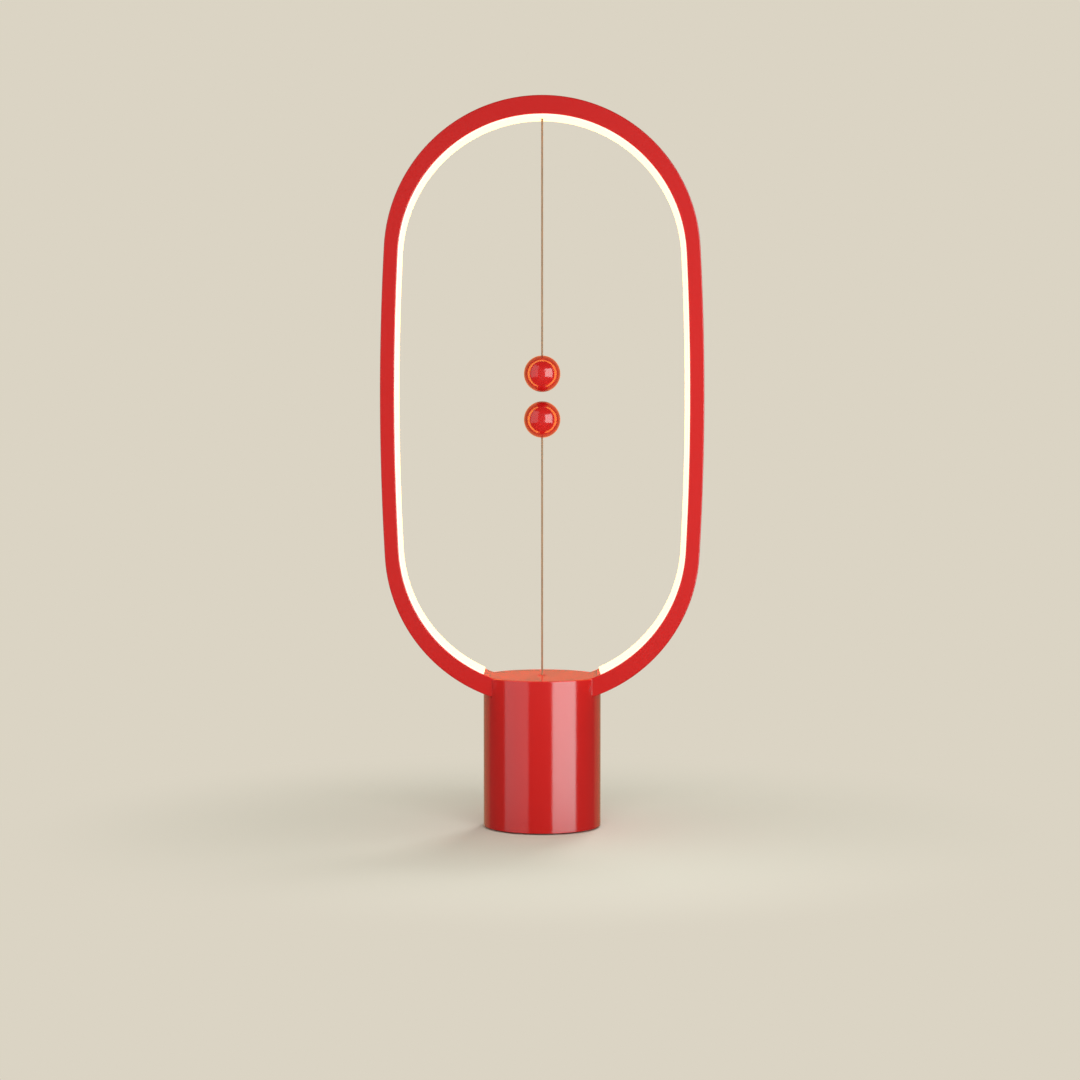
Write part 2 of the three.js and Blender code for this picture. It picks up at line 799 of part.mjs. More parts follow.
function ledStrip(side) {
  const startLength = anchorHalfLength + 2 * fitGap;
  const endLength = bottomLengthAtX(outerOval, stripInset, stripEndX);
  const lastChip = bottomLengthAtX(outerOval, stripInset, baseRadius + ledLength);
  const near = turnAtLength(outerOval, stripInset, startLength);
  const far = turnAtLength(outerOval, stripInset, endLength);
  const tape = sweptBand([
    [-stripWidth / 2, outerOval, stripInset],
    [stripWidth / 2, outerOval, stripInset],
    [stripWidth / 2, outerOval, stripInset + stripThickness],
    [-stripWidth / 2, outerOval, stripInset + stripThickness],
  ], side > 0 ? near : -far, side > 0 ? far : -near);
  const chips = [];
  const chipRise = stripThickness - ledSeat + ledHeight;
  for (let length = ledPitch / 2 + startLength; length < lastChip; length += ledPitch) {
    const inset = stripInset + ledSeat + chipRise / 2;
    const place = ovalPoint(outerOval, side * turnAtLength(outerOval, stripInset, length), inset);
    const chip = new THREE.BoxGeometry(ledLength, ledWidth, chipRise);
    chip.rotateY(Math.atan2(place.normalX, place.normalZ));
    chip.translate(place.x, 0, place.z);
    chips.push(solidOf(chip));
  }
  return chips.reduce((whole, chip) => whole.add(chip), tape);
}

// Where the ring's top meets the upper cord
const channelCeilingZ = lampHeight - ringFloorWall;
const diffuserFaceZ = lampHeight - ringFaceTop - diffuserProud;
const upperPivotZ = diffuserFaceZ + upperPivotLift;
const ringScrewSeat = saddleBottom + fitGap + screwHeadHeight;

// Cord anchor: a block bonded between the strips, with a pocket for the knotted cord end
const anchorBottom = diffuserFaceZ + diffuserWall + fitGap;
const anchorKnotBottom = anchorBottom + 2 * fitGap + cordBoreRadius;

function cordAnchor() {
  const top = channelCeilingZ - 2 * fitGap;
  const block = box(
    -anchorHalfLength,
    anchorHalfLength,
    -anchorDepth / 2,
    anchorDepth / 2,
    anchorBottom,
    top,
  );
  const pocket = anchorKnotRadius + fitGap;
  const pocketFloor = anchorKnotBottom - fitGap;
  return block
    .subtract(upright(cordBoreRadius, anchorBottom - cutOverrun, top, 0, 0, smallSteps))
    .subtract(upright(pocket, pocketFloor, top + cutOverrun, 0, 0, smallSteps));
}

function upperCordEnd() {
  const knotTop = anchorKnotBottom + anchorKnotLength;
  const edge = anchorKnotRadius * knotEdgeShare;
  return turned([
    [0, upperPivotZ + knotRadius + fitGap],
    [cordRadius, upperPivotZ + knotRadius + fitGap],
    [cordRadius, anchorKnotBottom],
    [anchorKnotRadius - edge, anchorKnotBottom],
    [anchorKnotRadius, anchorKnotBottom + edge],
    [anchorKnotRadius, knotTop - edge],
    [anchorKnotRadius - edge, knotTop],
    [0, knotTop],
  ], smallSteps);
}

addPiece(ringGroup, 'ring_frame', ringFrame(), redShell);
addPiece(ringGroup, 'light_diffuser', lightDiffuser(), glowing);
addPiece(ringGroup, 'led_strip_left', ledStrip(-1), stripWhite);
addPiece(ringGroup, 'led_strip_right', ledStrip(1), stripWhite);
addPiece(ringGroup, 'cord_anchor', cordAnchor(), greyNylon);
addPiece(ringGroup, 'upper_cord_end', upperCordEnd(), braid);

// Ring saddle: a cradle under the ring's lower arc, with an ear on each post
const saddleHalfWidth = shellInnerRadius - saddleSideInset;
const saddleHalfDepth = postCircle * Math.sin(Math.PI / 4) - saddleEarRadius + saddleEarOverlap;
const bracketScrewSpread = saddleHalfDepth - bracketScrewInset;

function ringSaddle() {
  const arc = [];
  for (let i = 0; i <= 2 * capSteps; i += 1) {
    const x = saddleHalfWidth * (1 - i / capSteps);
    arc.push([x, bottomHeightAtX(outerOval, -fitGap, x)]);
  }
  const outline = [[-saddleHalfWidth, saddleBottom], [saddleHalfWidth, saddleBottom], ...arc];
  let saddle = slab(outline, -saddleHalfDepth, saddleHalfDepth);
  const earTop = saddleBottom + saddleEarThickness;
  for (const { x, y } of postPlaces) {
    saddle = saddle.add(upright(saddleEarRadius, saddleBottom, earTop, x, y));
  }
  for (const { x, y } of postPlaces) {
    saddle = saddle.subtract(pilotHole(x, y, saddleBottom - cutOverrun, earTop + cutOverrun));
    saddle = saddle.subtract(headRoom(x, y, earTop, ringBottom + ringSink));
  }
  for (const side of [-1, 1]) {
    const screwX = side * ringScrewSpread;
    const leadX = side * leadHoleX;
    const top = ringBottom + ringSink;
    saddle = saddle.subtract(pilotHole(screwX, 0, saddleBottom - cutOverrun, top));
    saddle = saddle.subtract(headRoom(screwX, 0, saddleBottom - cutOverrun, ringScrewSeat));
    saddle = saddle.subtract(upright(leadHoleRadius, saddleBottom - cutOverrun, top, leadX, leadHoleY));
    const boltTop = plateBottom + bracketScrewLength;
    saddle = saddle.subtract(pilotHole(0, side * bracketScrewSpread, saddleBottom - cutOverrun, boltTop));
  }
  const bore = upright(saddleBoreRadius, saddleBottom - cutOverrun, ringBottom + ringSink);
  const room = upright(shellInnerRadius - 2 * fitGap, saddleBottom, ringBottom + ringSink, 0, 0, baseSteps);
  return saddle.subtract(bore).intersect(room);
}

// Switch bracket: a plate under the saddle, a back wall for the switch and a lug that
// guides the plunger
const switchLeft = plungerCollarRadius + switchOffset;
const switchRight = switchLeft + switchLength;
const switchBack = switchThickness / 2;
const leverBottom = collarTop + fitGap;
const leverZ = leverBottom + leverThickness / 2;
const switchBottom = leverBottom + leverThickness + leverRise;
const switchTop = switchBottom + switchHeight;
const leverPivotX = switchRight - leverPivotInset;
const pegPlaces = switchPegShares.map((share) => ({
  x: switchLeft + switchLength * share,
  z: switchBottom + switchHeight * share,
}));

function sidewaysPin(radius, front, back, x, z) {
  const geometry = new THREE.CylinderGeometry(radius, radius, back - front, smallSteps);
  geometry.translate(x, (front + back) / 2, z);
  return solidOf(geometry);
}

function switchBracket() {
  const half = bracketPlateHalfWidth;
  const back = switchBack + bracketBackWall;
  let bracket = box(-half, half, -saddleHalfDepth, saddleHalfDepth, plateBottom, saddleBottom);
  bracket = bracket.add(box(-half, switchRight, switchBack, back, lugBottom, saddleBottom));
  bracket = bracket.add(upright(bracketLugRadius, lugBottom, lugTop));
  bracket = bracket.add(box(-half, half, 0, switchBack + bracketBackWall / 2, lugBottom, lugTop));
  for (const { x, z } of pegPlaces) {
    bracket = bracket.add(sidewaysPin(switchPegRadius, -switchBack, back - fitGap, x, z));
  }
  for (const side of [-1, 1]) {
    const y = side * bracketScrewSpread;
    bracket = bracket.subtract(pilotHole(0, y, plateBottom - cutOverrun, saddleBottom + cutOverrun));
  }
  const collarRoom = plungerCollarRadius + 2 * fitGap;
  bracket = bracket.subtract(upright(collarRoom, lugTop, plateBottom));
  const guide = upright(plungerRadius + fitGap, lugBottom - cutOverrun, saddleBottom + cutOverrun);
  return bracket.subtract(guide);
}

// Microswitch: its case hangs beside the plunger with the button down, two lugs carry the
// lever, and three terminals stand on top
function microswitchBody() {
  let body = box(switchLeft, switchRight, -switchBack, switchBack, switchBottom, switchTop);
  const lugInner = leverWidth / 2 + fitGap;
  const lugReach = leverEyeRadius + fitGap;
  for (const side of [-1, 1]) {
    const [front, back] = side > 0 ? [lugInner, switchBack] : [-switchBack, -lugInner];
    body = body.add(box(
      leverPivotX - lugReach,
      switchRight,
      front,
      back,
      leverZ - lugReach,
      switchBottom + fitGap,
    ));
  }
  for (let i = 0; i < terminalCount; i += 1) {
    const x = switchLeft + (switchLength * (i + 0.5)) / terminalCount;
    body = body.add(box(
      x - terminalThickness / 2,
      x + terminalThickness / 2,
      -terminalWidth / 2,
      terminalWidth / 2,
      switchTop - fitGap,
      switchTop + terminalHeight,
    ));
  }
  for (const { x, z } of pegPlaces) {
    const reach = switchBack + cutOverrun;
    body = body.subtract(sidewaysPin(switchPegRadius + fitGap, -reach, reach, x, z));
  }
  const buttonX = leverPivotX - buttonArm;
  const buttonBore = buttonRadius + fitGap;
  const buttonTop = switchBottom + buttonDepth + plungerStroke * buttonTravelShare + fitGap;
  return body.subtract(upright(
    buttonBore,
    switchBottom - cutOverrun,
    buttonTop,
    buttonX,
    0,
    smallSteps,
  ));
}

function switchLever() {
  const tip = plungerCollarRadius - leverReach;
  const eye = sidewaysPin(leverEyeRadius, -leverWidth / 2, leverWidth / 2, leverPivotX, leverZ);
  const blade = box(
    tip,
    leverPivotX,
    -leverWidth / 2,
    leverWidth / 2,
    leverBottom,
    leverBottom + leverThickness,
  );
  return blade.add(eye);
}

function switchButton() {
  const x = leverPivotX - buttonArm;
  const bottom = leverBottom + leverThickness + fitGap;
  return upright(buttonRadius, bottom, switchBottom + buttonDepth, x, 0, smallSteps);
}

// Plunger: a stepped rod with a collar, a clip groove at the bottom and a bore on top that
// takes the cord's tail
function switchPlunger() {
  const grooveRadius = plungerRadius - clipGrooveDepth;
  const rod = turned([
    [0, plungerBottom],
    [plungerRadius, plungerBottom],
    [plungerRadius, grooveBottom],
    [grooveRadius, grooveBottom],
    [grooveRadius, grooveTop],
    [plungerRadius, grooveTop],
    [plungerRadius, collarBottom],
    [plungerCollarRadius, collarBottom],
    [plungerCollarRadius, collarTop],
    [plungerRadius, collarTop],
    [plungerRadius, plungerTop],
    [0, plungerTop],
  ]);
  return rod.subtract(upright(
    cordBoreRadius,
    plungerTop - tailDepth,
    plungerTop + cutOverrun,
    0,
    0,
    smallSteps,
  ));
}

function plungerClip() {
  const inner = plungerRadius - clipGrooveDepth + fitGap;
  return turned([
    [inner, clipTop - clipThickness],
    [clipRadius, clipTop - clipThickness],
    [clipRadius, clipTop],
    [inner, clipTop],
    [inner, clipTop - clipThickness],
  ]);
}

// Return spring: one round wire wound between the collar and the bracket's plate
function returnSpring() {
  const wireRadius = springWire / 2;
  const bottom = collarTop + fitGap + wireRadius;
  const rise = springLength - 2 * fitGap - springWire;
  const total = springCurls * springSteps;
  const positions = [];
  const corners = [];
  const centres = [];
  for (let i = 0; i <= total; i += 1) {
    const angle = (2 * Math.PI * i) / springSteps;
    const height = bottom + (rise * i) / total;
    centres.push(new THREE.Vector3(
      springRadius * Math.cos(angle),
      springRadius * Math.sin(angle),
      height,
    ));
    for (let j = 0; j < springSides; j += 1) {
      const turn = (2 * Math.PI * j) / springSides;
      const radius = springRadius + wireRadius * Math.cos(turn);
      positions.push(
        radius * Math.cos(angle),
        radius * Math.sin(angle),
        height + wireRadius * Math.sin(turn),
      );
    }
  }
  for (let i = 0; i < total; i += 1) {
    for (let j = 0; j < springSides; j += 1) {
      const here = i * springSides;
      const next = here + springSides;
      const k = (j + 1) % springSides;
      corners.push(here + j, next + j, next + k, here + j, next + k, here + k);
    }
  }
  const last = total * springSides;
  for (let j = 1; j < springSides - 1; j += 1) {
    corners.push(0, j, j + 1, last, last + j + 1, last + j);
  }
  let least = Infinity;
  for (let i = 0; i < centres.length; i += 1) {
    for (let j = i + springSteps / 2; j < centres.length; j += 1) {
      least = Math.min(least, centres[i].distanceTo(centres[j]) - springWire);
    }
  }
  console.log(`return_spring: least gap to itself ${least.toFixed(2)} mm`);
  const geometry = new THREE.BufferGeometry();
  geometry.setAttribute('position', new THREE.Float32BufferAttribute(positions, 3));
  geometry.setIndex(corners);
  return solidOf(geometry);
}

addPiece(switchGroup, 'ring_saddle', ringSaddle(), redInner);
postPlaces.forEach(({ x, y }, i) => {
  const seat = saddleBottom + saddleEarThickness;
  addPiece(switchGroup, `saddle_screw_${i + 1}`, panScrew(saddleScrewLength), zincSteel, [x, y, seat]);
});
[['left', -1], ['right', 1]].forEach(([name, side]) => {
  const x = side * ringScrewSpread;
  const screw = panScrew(ringScrewLength - fitGap);
  addPiece(switchGroup, `ring_screw_${name}`, screw, zincSteel, [x, 0, ringScrewSeat], true);
});
[['front', -1], ['back', 1]].forEach(([name, side]) => {
  const y = side * bracketScrewSpread;
  const screw = panScrew(bracketScrewLength - fitGap);
  addPiece(switchGroup, `bracket_screw_${name}`, screw, zincSteel, [0, y, plateBottom], true);
});
addPiece(switchGroup, 'switch_bracket', switchBracket(), greyNylon);
addPiece(switchGroup, 'microswitch_body', microswitchBody(), blackPlastic);
addPiece(switchGroup, 'switch_lever', switchLever(), springSteel);
addPiece(switchGroup, 'switch_button', switchButton(), stripWhite);
addPiece(switchGroup, 'switch_plunger', switchPlunger(), greyNylon);
addPiece(switchGroup, 'plunger_clip', plungerClip(), springSteel);
addPiece(switchGroup, 'return_spring', returnSpring(), springSteel);

// Control board: a disc on the standoffs with a tongue that carries the socket
const socketBack = Math.sqrt(shellInnerRadius ** 2 - (socketWidth / 2) ** 2) - fitGap;

function controlBoard() {
  let board = upright(ballastRadius - boardEdgeGap, boardBottom, boardTop, 0, 0, baseSteps);
  board = board.add(box(
    -boardTongueHalfWidth,
    boardTongueHalfWidth,
    0,
    socketBack - boardTongueBack,
    boardBottom,
    boardTop,
  ));
  const seat = boardTop - fitGap;
  const offset = ballastRadius * componentShare;
  board = board.add(upright(capacitorRadius, seat, boardTop + capacitorHeight, -offset, -offset));
  board = board.add(box(
    offset - coilSide / 2,
    offset + coilSide / 2,
    -offset - coilSide / 2,
    -offset + coilSide / 2,
    seat,
    boardTop + coilHeight,
  ));
  board = board.add(box(
    -chipLength / 2,
    chipLength / 2,
    -chipWidth,
    0,
    seat,
    boardTop + chipHeight,
  ));
  for (const { x, y } of standoffPlaces) {
    board = board.subtract(pilotHole(x, y, boardBottom - cutOverrun, boardTop + cutOverrun));
  }
  return board;
}

// Power socket: a metal shell with an open mouth and a contact tongue
function powerSocket() {
  const half = socketWidth / 2;
  const bottom = boardTop;
  const top = bottom + socketHeight;
  const mouth = socketBack;
  const rear = mouth - socketLength;
  const shell = box(-half, half, rear, mouth, bottom, top);
  const hollow = box(
    -half + socketWall,
    half - socketWall,
    rear + 2 * socketWall,
    mouth + cutOverrun,
    bottom + socketWall,
    top - socketWall,
  );
  const middle = (bottom + top) / 2;
  const tongue = box(
    -half + 3 * socketWall,
    half - 3 * socketWall,
    rear + socketWall,
    mouth - socketHeight / 2,
    middle - socketTongue / 2,
    middle + socketTongue / 2,
  );
  return shell.subtract(hollow).add(tongue);
}

function leadConnector() {
  const top = boardTop + connectorHeight;
  const front = connectorY - connectorDepth / 2;
  const back = connectorY + connectorDepth / 2;
  const body = box(-connectorWidth / 2, connectorWidth / 2, front, back, boardTop, top);
  const slot = box(
    -connectorWidth / 2 + connectorWall,
    connectorWidth / 2 - connectorWall,
    front - cutOverrun,
    front + connectorWall,
    boardTop + connectorWall,
    top - connectorWall,
  );
  return body.subtract(slot);
}

// Leads: each LED lead runs from its strip's end down through the saddle, and the switch
// lead from the switch's terminals, all to the connector on the board
const connectorTop = boardTop + connectorHeight;

function ledLead(side) {
  const floorAt = (x) => bottomHeightAtX(outerOval, stripInset, x) + leadRadius + fitGap;
  const stripX = stripEndX - 2 * fitGap - leadRadius;
  const bendX = (leadHoleX + ringScrewSpread) / 2;
  const level = [
    [stripX, 0, floorAt(stripX)],
    [stripX, leadHoleY / 2, floorAt(stripX)],
    [ringScrewSpread, leadHoleY, floorAt(ringScrewSpread)],
    [bendX, leadHoleY, floorAt(bendX) + leadRadius],
    [leadHoleX + leadRadius, leadHoleY, floorAt(0) + leadRadius],
    [leadHoleX, leadHoleY, floorAt(0) - 2 * leadRadius],
  ];
  const drop = [
    [leadHoleX, leadHoleY, saddleBottom],
    [leadHoleX, leadHoleY, lugTop],
    [connectorWidth * leadSpreadShare, connectorY, (lugBottom + connectorTop) / 2],
    [connectorWidth * leadSpreadShare, connectorY, connectorTop + fitGap],
  ];
  return tubeAlong([...level, ...drop].map(([x, y, z]) => [side * x, y, z]), leadRadius);
}

function switchLead() {
  const start = switchTop + terminalHeight / 2;
  const x = switchLeft + switchLength / 2;
  const front = -terminalWidth / 2 - fitGap;
  const away = -switchBack - 4 * leadRadius;
  return tubeAlong([
    [x, front, start],
    [x, front + away / 2, start],
    [x, away, switchTop - switchHeight / 2],
    [x, away, lugTop],
    [x, away, connectorTop + 6 * leadRadius],
    [x / 2, 0, connectorTop + 3 * leadRadius],
    [0, connectorY - 4 * leadRadius, connectorTop + 5 * leadRadius],
    [0, connectorY, connectorTop + 4 * leadRadius],
    [0, connectorY, connectorTop + fitGap],
  ], leadRadius);
}

addPiece(baseGroup, 'control_board', controlBoard(), boardGreen);
addPiece(baseGroup, 'power_socket', powerSocket(), nickel);
addPiece(baseGroup, 'lead_connector', leadConnector(), stripWhite);
standoffPlaces.forEach(({ x, y }, i) => {
  const screw = panScrew(boardScrewLength - fitGap);
  addPiece(baseGroup, `board_screw_${i + 1}`, screw, zincSteel, [x, y, boardTop]);
});
addPiece(switchGroup, 'led_lead_left', ledLead(-1), leadWhite);
addPiece(switchGroup, 'led_lead_right', ledLead(1), leadWhite);
addPiece(switchGroup, 'switch_lead', switchLead(), blackPlastic);

// Balls: each is bored for its cord on one side and pocketed for its magnet on the other.
// They are drawn with the cord above, and the lower one is turned over.
const pocketRadius = magnetRadius + fitGap;
const magnetFar = ballRadius - magnetDepth;
const magnetNear = magnetFar - magnetThickness;
const pocketTop = fitGap - magnetNear;
const crimpBottom = pocketTop;
const crimpTop = crimpBottom + crimpLength;

function sphere(radius) {
  const geometry = new THREE.SphereGeometry(radius, ballSteps, ballSteps / 2);
  geometry.rotateX(Math.PI / 2);
  return solidOf(geometry);
}

function ballBody() {
  const below = -ballRadius - cutOverrun;
  const above = ballRadius + cutOverrun;
  return sphere(ballRadius)
    .subtract(upright(pocketRadius, below, pocketTop))
    .subtract(upright(crimpRadius + fitGap, below, crimpTop + fitGap, 0, 0, smallSteps))
    .subtract(upright(cordBoreRadius, crimpTop, above, 0, 0, smallSteps));
}

function ballPlug() {
  const top = -magnetFar - fitGap;
  return sphere(ballRadius).intersect(upright(magnetRadius, -ballRadius - cutOverrun, top));
}

function ballMagnet() {
  return turned([
    [0, -magnetFar],
    [magnetRadius - magnetBevel, -magnetFar],
    [magnetRadius, magnetBevel - magnetFar],
    [magnetRadius, -magnetNear - magnetBevel],
    [magnetRadius - magnetBevel, -magnetNear],
    [0, -magnetNear],
  ]);
}

function cordCrimp() {
  return upright(crimpRadius, crimpBottom + fitGap, crimpTop, 0, 0, smallSteps);
}

function cordKnot() {
  const geometry = new THREE.SphereGeometry(knotRadius, smallSteps, smallSteps / 2);
  geometry.rotateX(Math.PI / 2);
  return solidOf(geometry);
}

function straightCord(bottom, top) {
  return upright(cordRadius, bottom, top, 0, 0, cordSteps);
}

const upperPlace = [0, 0, upperBallZ];
const lowerPlace = [0, 0, lowerBallZ];
const cordInBall = crimpTop + 2 * fitGap;
const upperCord = straightCord(upperBallZ + cordInBall, upperPivotZ - knotRadius - fitGap);
const lowerCord = straightCord(lowerPivotZ + knotRadius + fitGap, lowerBallZ - cordInBall);
const tailBottom = plungerTop - tailDepth + fitGap;
const tailTop = lowerPivotZ - knotRadius - fitGap;

addPiece(upperGroup, 'upper_knot', cordKnot(), braid, [0, 0, upperPivotZ]);
addPiece(upperGroup, 'upper_cord', upperCord, braid);
addPiece(upperGroup, 'upper_ball', ballBody(), redShell, upperPlace);
addPiece(upperGroup, 'upper_ball_plug', ballPlug(), redShell, upperPlace);
addPiece(upperGroup, 'upper_magnet', ballMagnet(), nickel, upperPlace);
addPiece(upperGroup, 'upper_crimp', cordCrimp(), brass, upperPlace);

addPiece(lowerGroup, 'cord_tail', straightCord(tailBottom, tailTop), braid);
addPiece(lowerGroup, 'lower_knot', cordKnot(), braid, [0, 0, lowerPivotZ]);
addPiece(lowerGroup, 'lower_cord', lowerCord, braid);
addPiece(lowerGroup, 'lower_ball', ballBody(), redShell, lowerPlace, true);
addPiece(lowerGroup, 'lower_ball_plug', ballPlug(), redShell, lowerPlace, true);
addPiece(lowerGroup, 'lower_magnet', ballMagnet(), nickel, lowerPlace, true);
addPiece(lowerGroup, 'lower_crimp', cordCrimp(), brass, lowerPlace, true);

export default lamp;
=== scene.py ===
# Magnetic balance lamp: the looks of every piece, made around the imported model.
import math

import bmesh
import bpy
from bpy.props import FloatProperty, IntProperty, PointerProperty, StringProperty
from mathutils import Matrix, Vector


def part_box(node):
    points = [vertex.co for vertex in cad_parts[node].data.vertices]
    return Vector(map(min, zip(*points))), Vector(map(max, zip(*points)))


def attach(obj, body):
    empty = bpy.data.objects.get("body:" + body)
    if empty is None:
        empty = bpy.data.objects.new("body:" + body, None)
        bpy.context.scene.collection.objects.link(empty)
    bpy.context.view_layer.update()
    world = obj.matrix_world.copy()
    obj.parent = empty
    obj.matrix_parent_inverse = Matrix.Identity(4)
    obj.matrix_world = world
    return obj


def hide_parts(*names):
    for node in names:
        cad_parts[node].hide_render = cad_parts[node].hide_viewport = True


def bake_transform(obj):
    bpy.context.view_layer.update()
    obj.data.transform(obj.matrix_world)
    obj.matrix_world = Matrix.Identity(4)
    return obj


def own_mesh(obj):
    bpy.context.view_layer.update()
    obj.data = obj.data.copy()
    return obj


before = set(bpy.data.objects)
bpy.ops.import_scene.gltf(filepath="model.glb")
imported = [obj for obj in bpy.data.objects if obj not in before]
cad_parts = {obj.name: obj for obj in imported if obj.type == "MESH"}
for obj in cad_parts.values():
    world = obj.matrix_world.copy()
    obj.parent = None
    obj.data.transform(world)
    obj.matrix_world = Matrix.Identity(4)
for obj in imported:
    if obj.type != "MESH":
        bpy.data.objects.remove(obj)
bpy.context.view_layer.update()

bl_info = {
    "name": "Magnetic balance lamp",
    "version": (1, 0, 0),
    "blender": (4, 5, 0),
    "location": "3D View > Sidebar > Lamp",
    "description": "An oval light ring in a round base, with two balls that meet at a magnetic gap",
    "category": "Add Mesh",
}

MM = 0.001
TINY = 1e-7
SHARP_ANGLE = math.radians(40)
FILLET_STEPS = 4
SUPPORT_SHARE = 0.3
LATHE_STEPS = 160
SMALL_STEPS = 40
ARC_STEPS = 16
CUT_OVERRUN = 2 * MM

RING_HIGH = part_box("ring_frame")[1]
SHELL_LOW, SHELL_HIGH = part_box("base_shell")
COVER_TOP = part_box("top_cover")[1][2]
FOOT_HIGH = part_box("foot_pad")[1]
SPRING_LOW, SPRING_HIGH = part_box("return_spring")
SOCKET_LOW, SOCKET_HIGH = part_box("power_socket")
SOCKET_HEIGHT = (SOCKET_LOW[2] + SOCKET_HIGH[2]) / 2


def middle(node):
    """The middle of a CAD node's box."""
    low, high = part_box(node)
    return (Vector(low) + Vector(high)) / 2


UPPER_PIVOT = middle("upper_knot").z
LOWER_PIVOT = middle("lower_knot").z


# Settings


def number(label, description, default, **more):
    """A number that a user may change."""
    return FloatProperty(name=label, description=description, default=default, **more)


def length(label, description, default):
    """A length in metres that a user may change."""
    return number(label, description, default, min=0.0, precision=5, unit="LENGTH")


def colour(label, description, default):
    """A colour that a user may change, as an sRGB hex value."""
    return StringProperty(name=label, description=description, default=default)


class RingSizes(bpy.types.PropertyGroup):
    """Sizes of the ring frame and of the light in it."""

    half_width: length("Half width", "Middle to the ring's side", RING_HIGH[0])
    half_height: length("Half height", "Middle to the ring's top", 165.5 * MM)
    side_bulge: length("Side bulge", "How far the sides bow out", 2.25 * MM)
    inner_bulge: length("Inner bulge", "How far the inner sides bow out", 2.0 * MM)
    face_side: length("Face at the sides", "Width of the front face there", 7.8 * MM)
    face_top: length("Face at the top", "Width of the front face there", 10.0 * MM)
    half_depth: length("Half depth", "Middle to the front face", RING_HIGH[1])
    edge: length("Edge radius", "Radius of the outer edges", 0.5 * MM)
    lip_edge: length("Lip edge radius", "Radius of the lips' inner edges", 0.3 * MM)
    lip: length("Lip", "Wall beside the light channel", 1.8 * MM)
    floor_wall: length("Floor wall", "Wall under the light channel", 2.2 * MM)
    end_gap: length("End gap", "Middle to each end of the ring in the base", 10.0 * MM)
    light_end: length("Light end", "Middle to where the light channel stops", 31.8 * MM)
    light_gap: length("Light gap", "Room between the light and the lips", 0.3 * MM)
    light_proud: length("Light crown", "How far the light stands proud", 1.2 * MM)
    light_wall: length("Light wall", "Wall of the light cover", 1.6 * MM)
    light_round: length("Light round", "Width of the light's rounded edge", 2.4 * MM)
    cord_hole: length("Cord hole", "Radius of the hole for the cord", 2.2 * MM)


class BaseSizes(bpy.types.PropertyGroup):
    """Sizes of the base."""

    radius: length("Radius", "Radius of the shell", SHELL_HIGH[0])
    wall: length("Wall", "Wall of the shell", 2.2 * MM)
    edge: length("Edge radius", "Radius of the shell's top edge", 0.5 * MM)
    low_edge: length("Low edge radius", "Radius of the shell's lower edge", 0.2 * MM)
    cover_radius: length("Cover radius", "Radius of the top cover", 30.95 * MM)
    cover_wall: length("Cover thickness", "Thickness of the top cover", 2.0 * MM)
    seam: length("Seam", "Gap between the base's visible pieces", 0.05 * MM)
    slot_gap: length("Slot gap", "Gap round the ring where it enters", 0.05 * MM)
    cover_edge: length("Cover edge", "Radius of the cover's rim edge", 0.15 * MM)
    eyelet_bore: length("Eyelet bore", "Radius of the cord's way", 1.9 * MM)
    eyelet_sleeve: length("Eyelet sleeve", "Radius of the eyelet's sleeve", 2.8 * MM)
    eyelet_flange: length("Eyelet flange", "Radius of the eyelet's flange", 3.7 * MM)
    eyelet_rise: length("Eyelet rise", "Height of the flange", 0.2 * MM)
    eyelet_depth: length("Eyelet depth", "How deep the sleeve reaches", 4.0 * MM)
    foot_edge: length("Foot edge", "Radius of the foot pad's edge", 0.5 * MM)
    foot_groove: length("Foot groove", "Width of each ring groove", 1.2 * MM)
    port_half_width: length("Port half width", "Half the port's width", 4.85 * MM)
    port_half_height: length("Port half height", "Half the port's height", 1.95 * MM)


class BallSizes(bpy.types.PropertyGroup):
    """Sizes of the two balls."""

    radius: length("Radius", "Radius of a ball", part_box("upper_ball")[1][0])
    plug: length("Plug radius", "Radius of the plug over the magnet", 4.0 * MM)
    seam: length("Plug seam", "Gap round the plug", 0.05 * MM)
    bore: length("Bore", "Radius of the cord's bore", 0.75 * MM)
    bore_edge: length("Bore edge", "Radius of the bore's mouth", 0.25 * MM)
    plug_depth: length("Plug depth", "Ball's skin to the plug's back", 2.7 * MM)
    pocket_top: length("Pocket end", "Ball's middle to the pocket's end", 2.2 * MM)
    crimp: length("Crimp pocket", "Radius of the crimp's pocket", 1.9 * MM)
    crimp_length: length("Crimp length", "Length of the crimp's pocket", 1.7 * MM)


class CordSizes(bpy.types.PropertyGroup):
    """Sizes of the braided cords."""

    radius: length("Radius", "Radius of the cord", 0.55 * MM)
    lay: length("Lay", "Length of one turn of a strand", 5.2 * MM)
    strand_width: length("Strand width", "Width of a strand", 0.42 * MM)
    strand_thickness: length("Strand thickness", "Thickness of a strand", 0.08 * MM)
    strands: IntProperty(
        name="Strands each way", description="Strands that run each way round", default=4, min=2)


class LampColours(bpy.types.PropertyGroup):
    """Colours of the lamp and its stage."""

    red: colour("Red ABS", "Shell, ring and balls", "#C61A19")
    light: colour("Light", "Light cover", "#C4BDAB")
    cord: colour("Cord", "Braided cord", "#A5815E")
    wall: colour("Backdrop", "Room round the lamp", "#DBD4C4")
    back_wall: colour("Back wall", "Mirrored from behind", "#DBC49A")
    day: colour("Daylight", "Mirrored window and wall", "#D6FFFF")
    warm: colour("Warm wall", "Mirrored by the balls' rims", "#FF8A38")
    floor: colour("Floor", "Floor near the lamp", "#EFEFE3")
    glow: colour("Glow", "Light that the ring throws", "#FFB558")


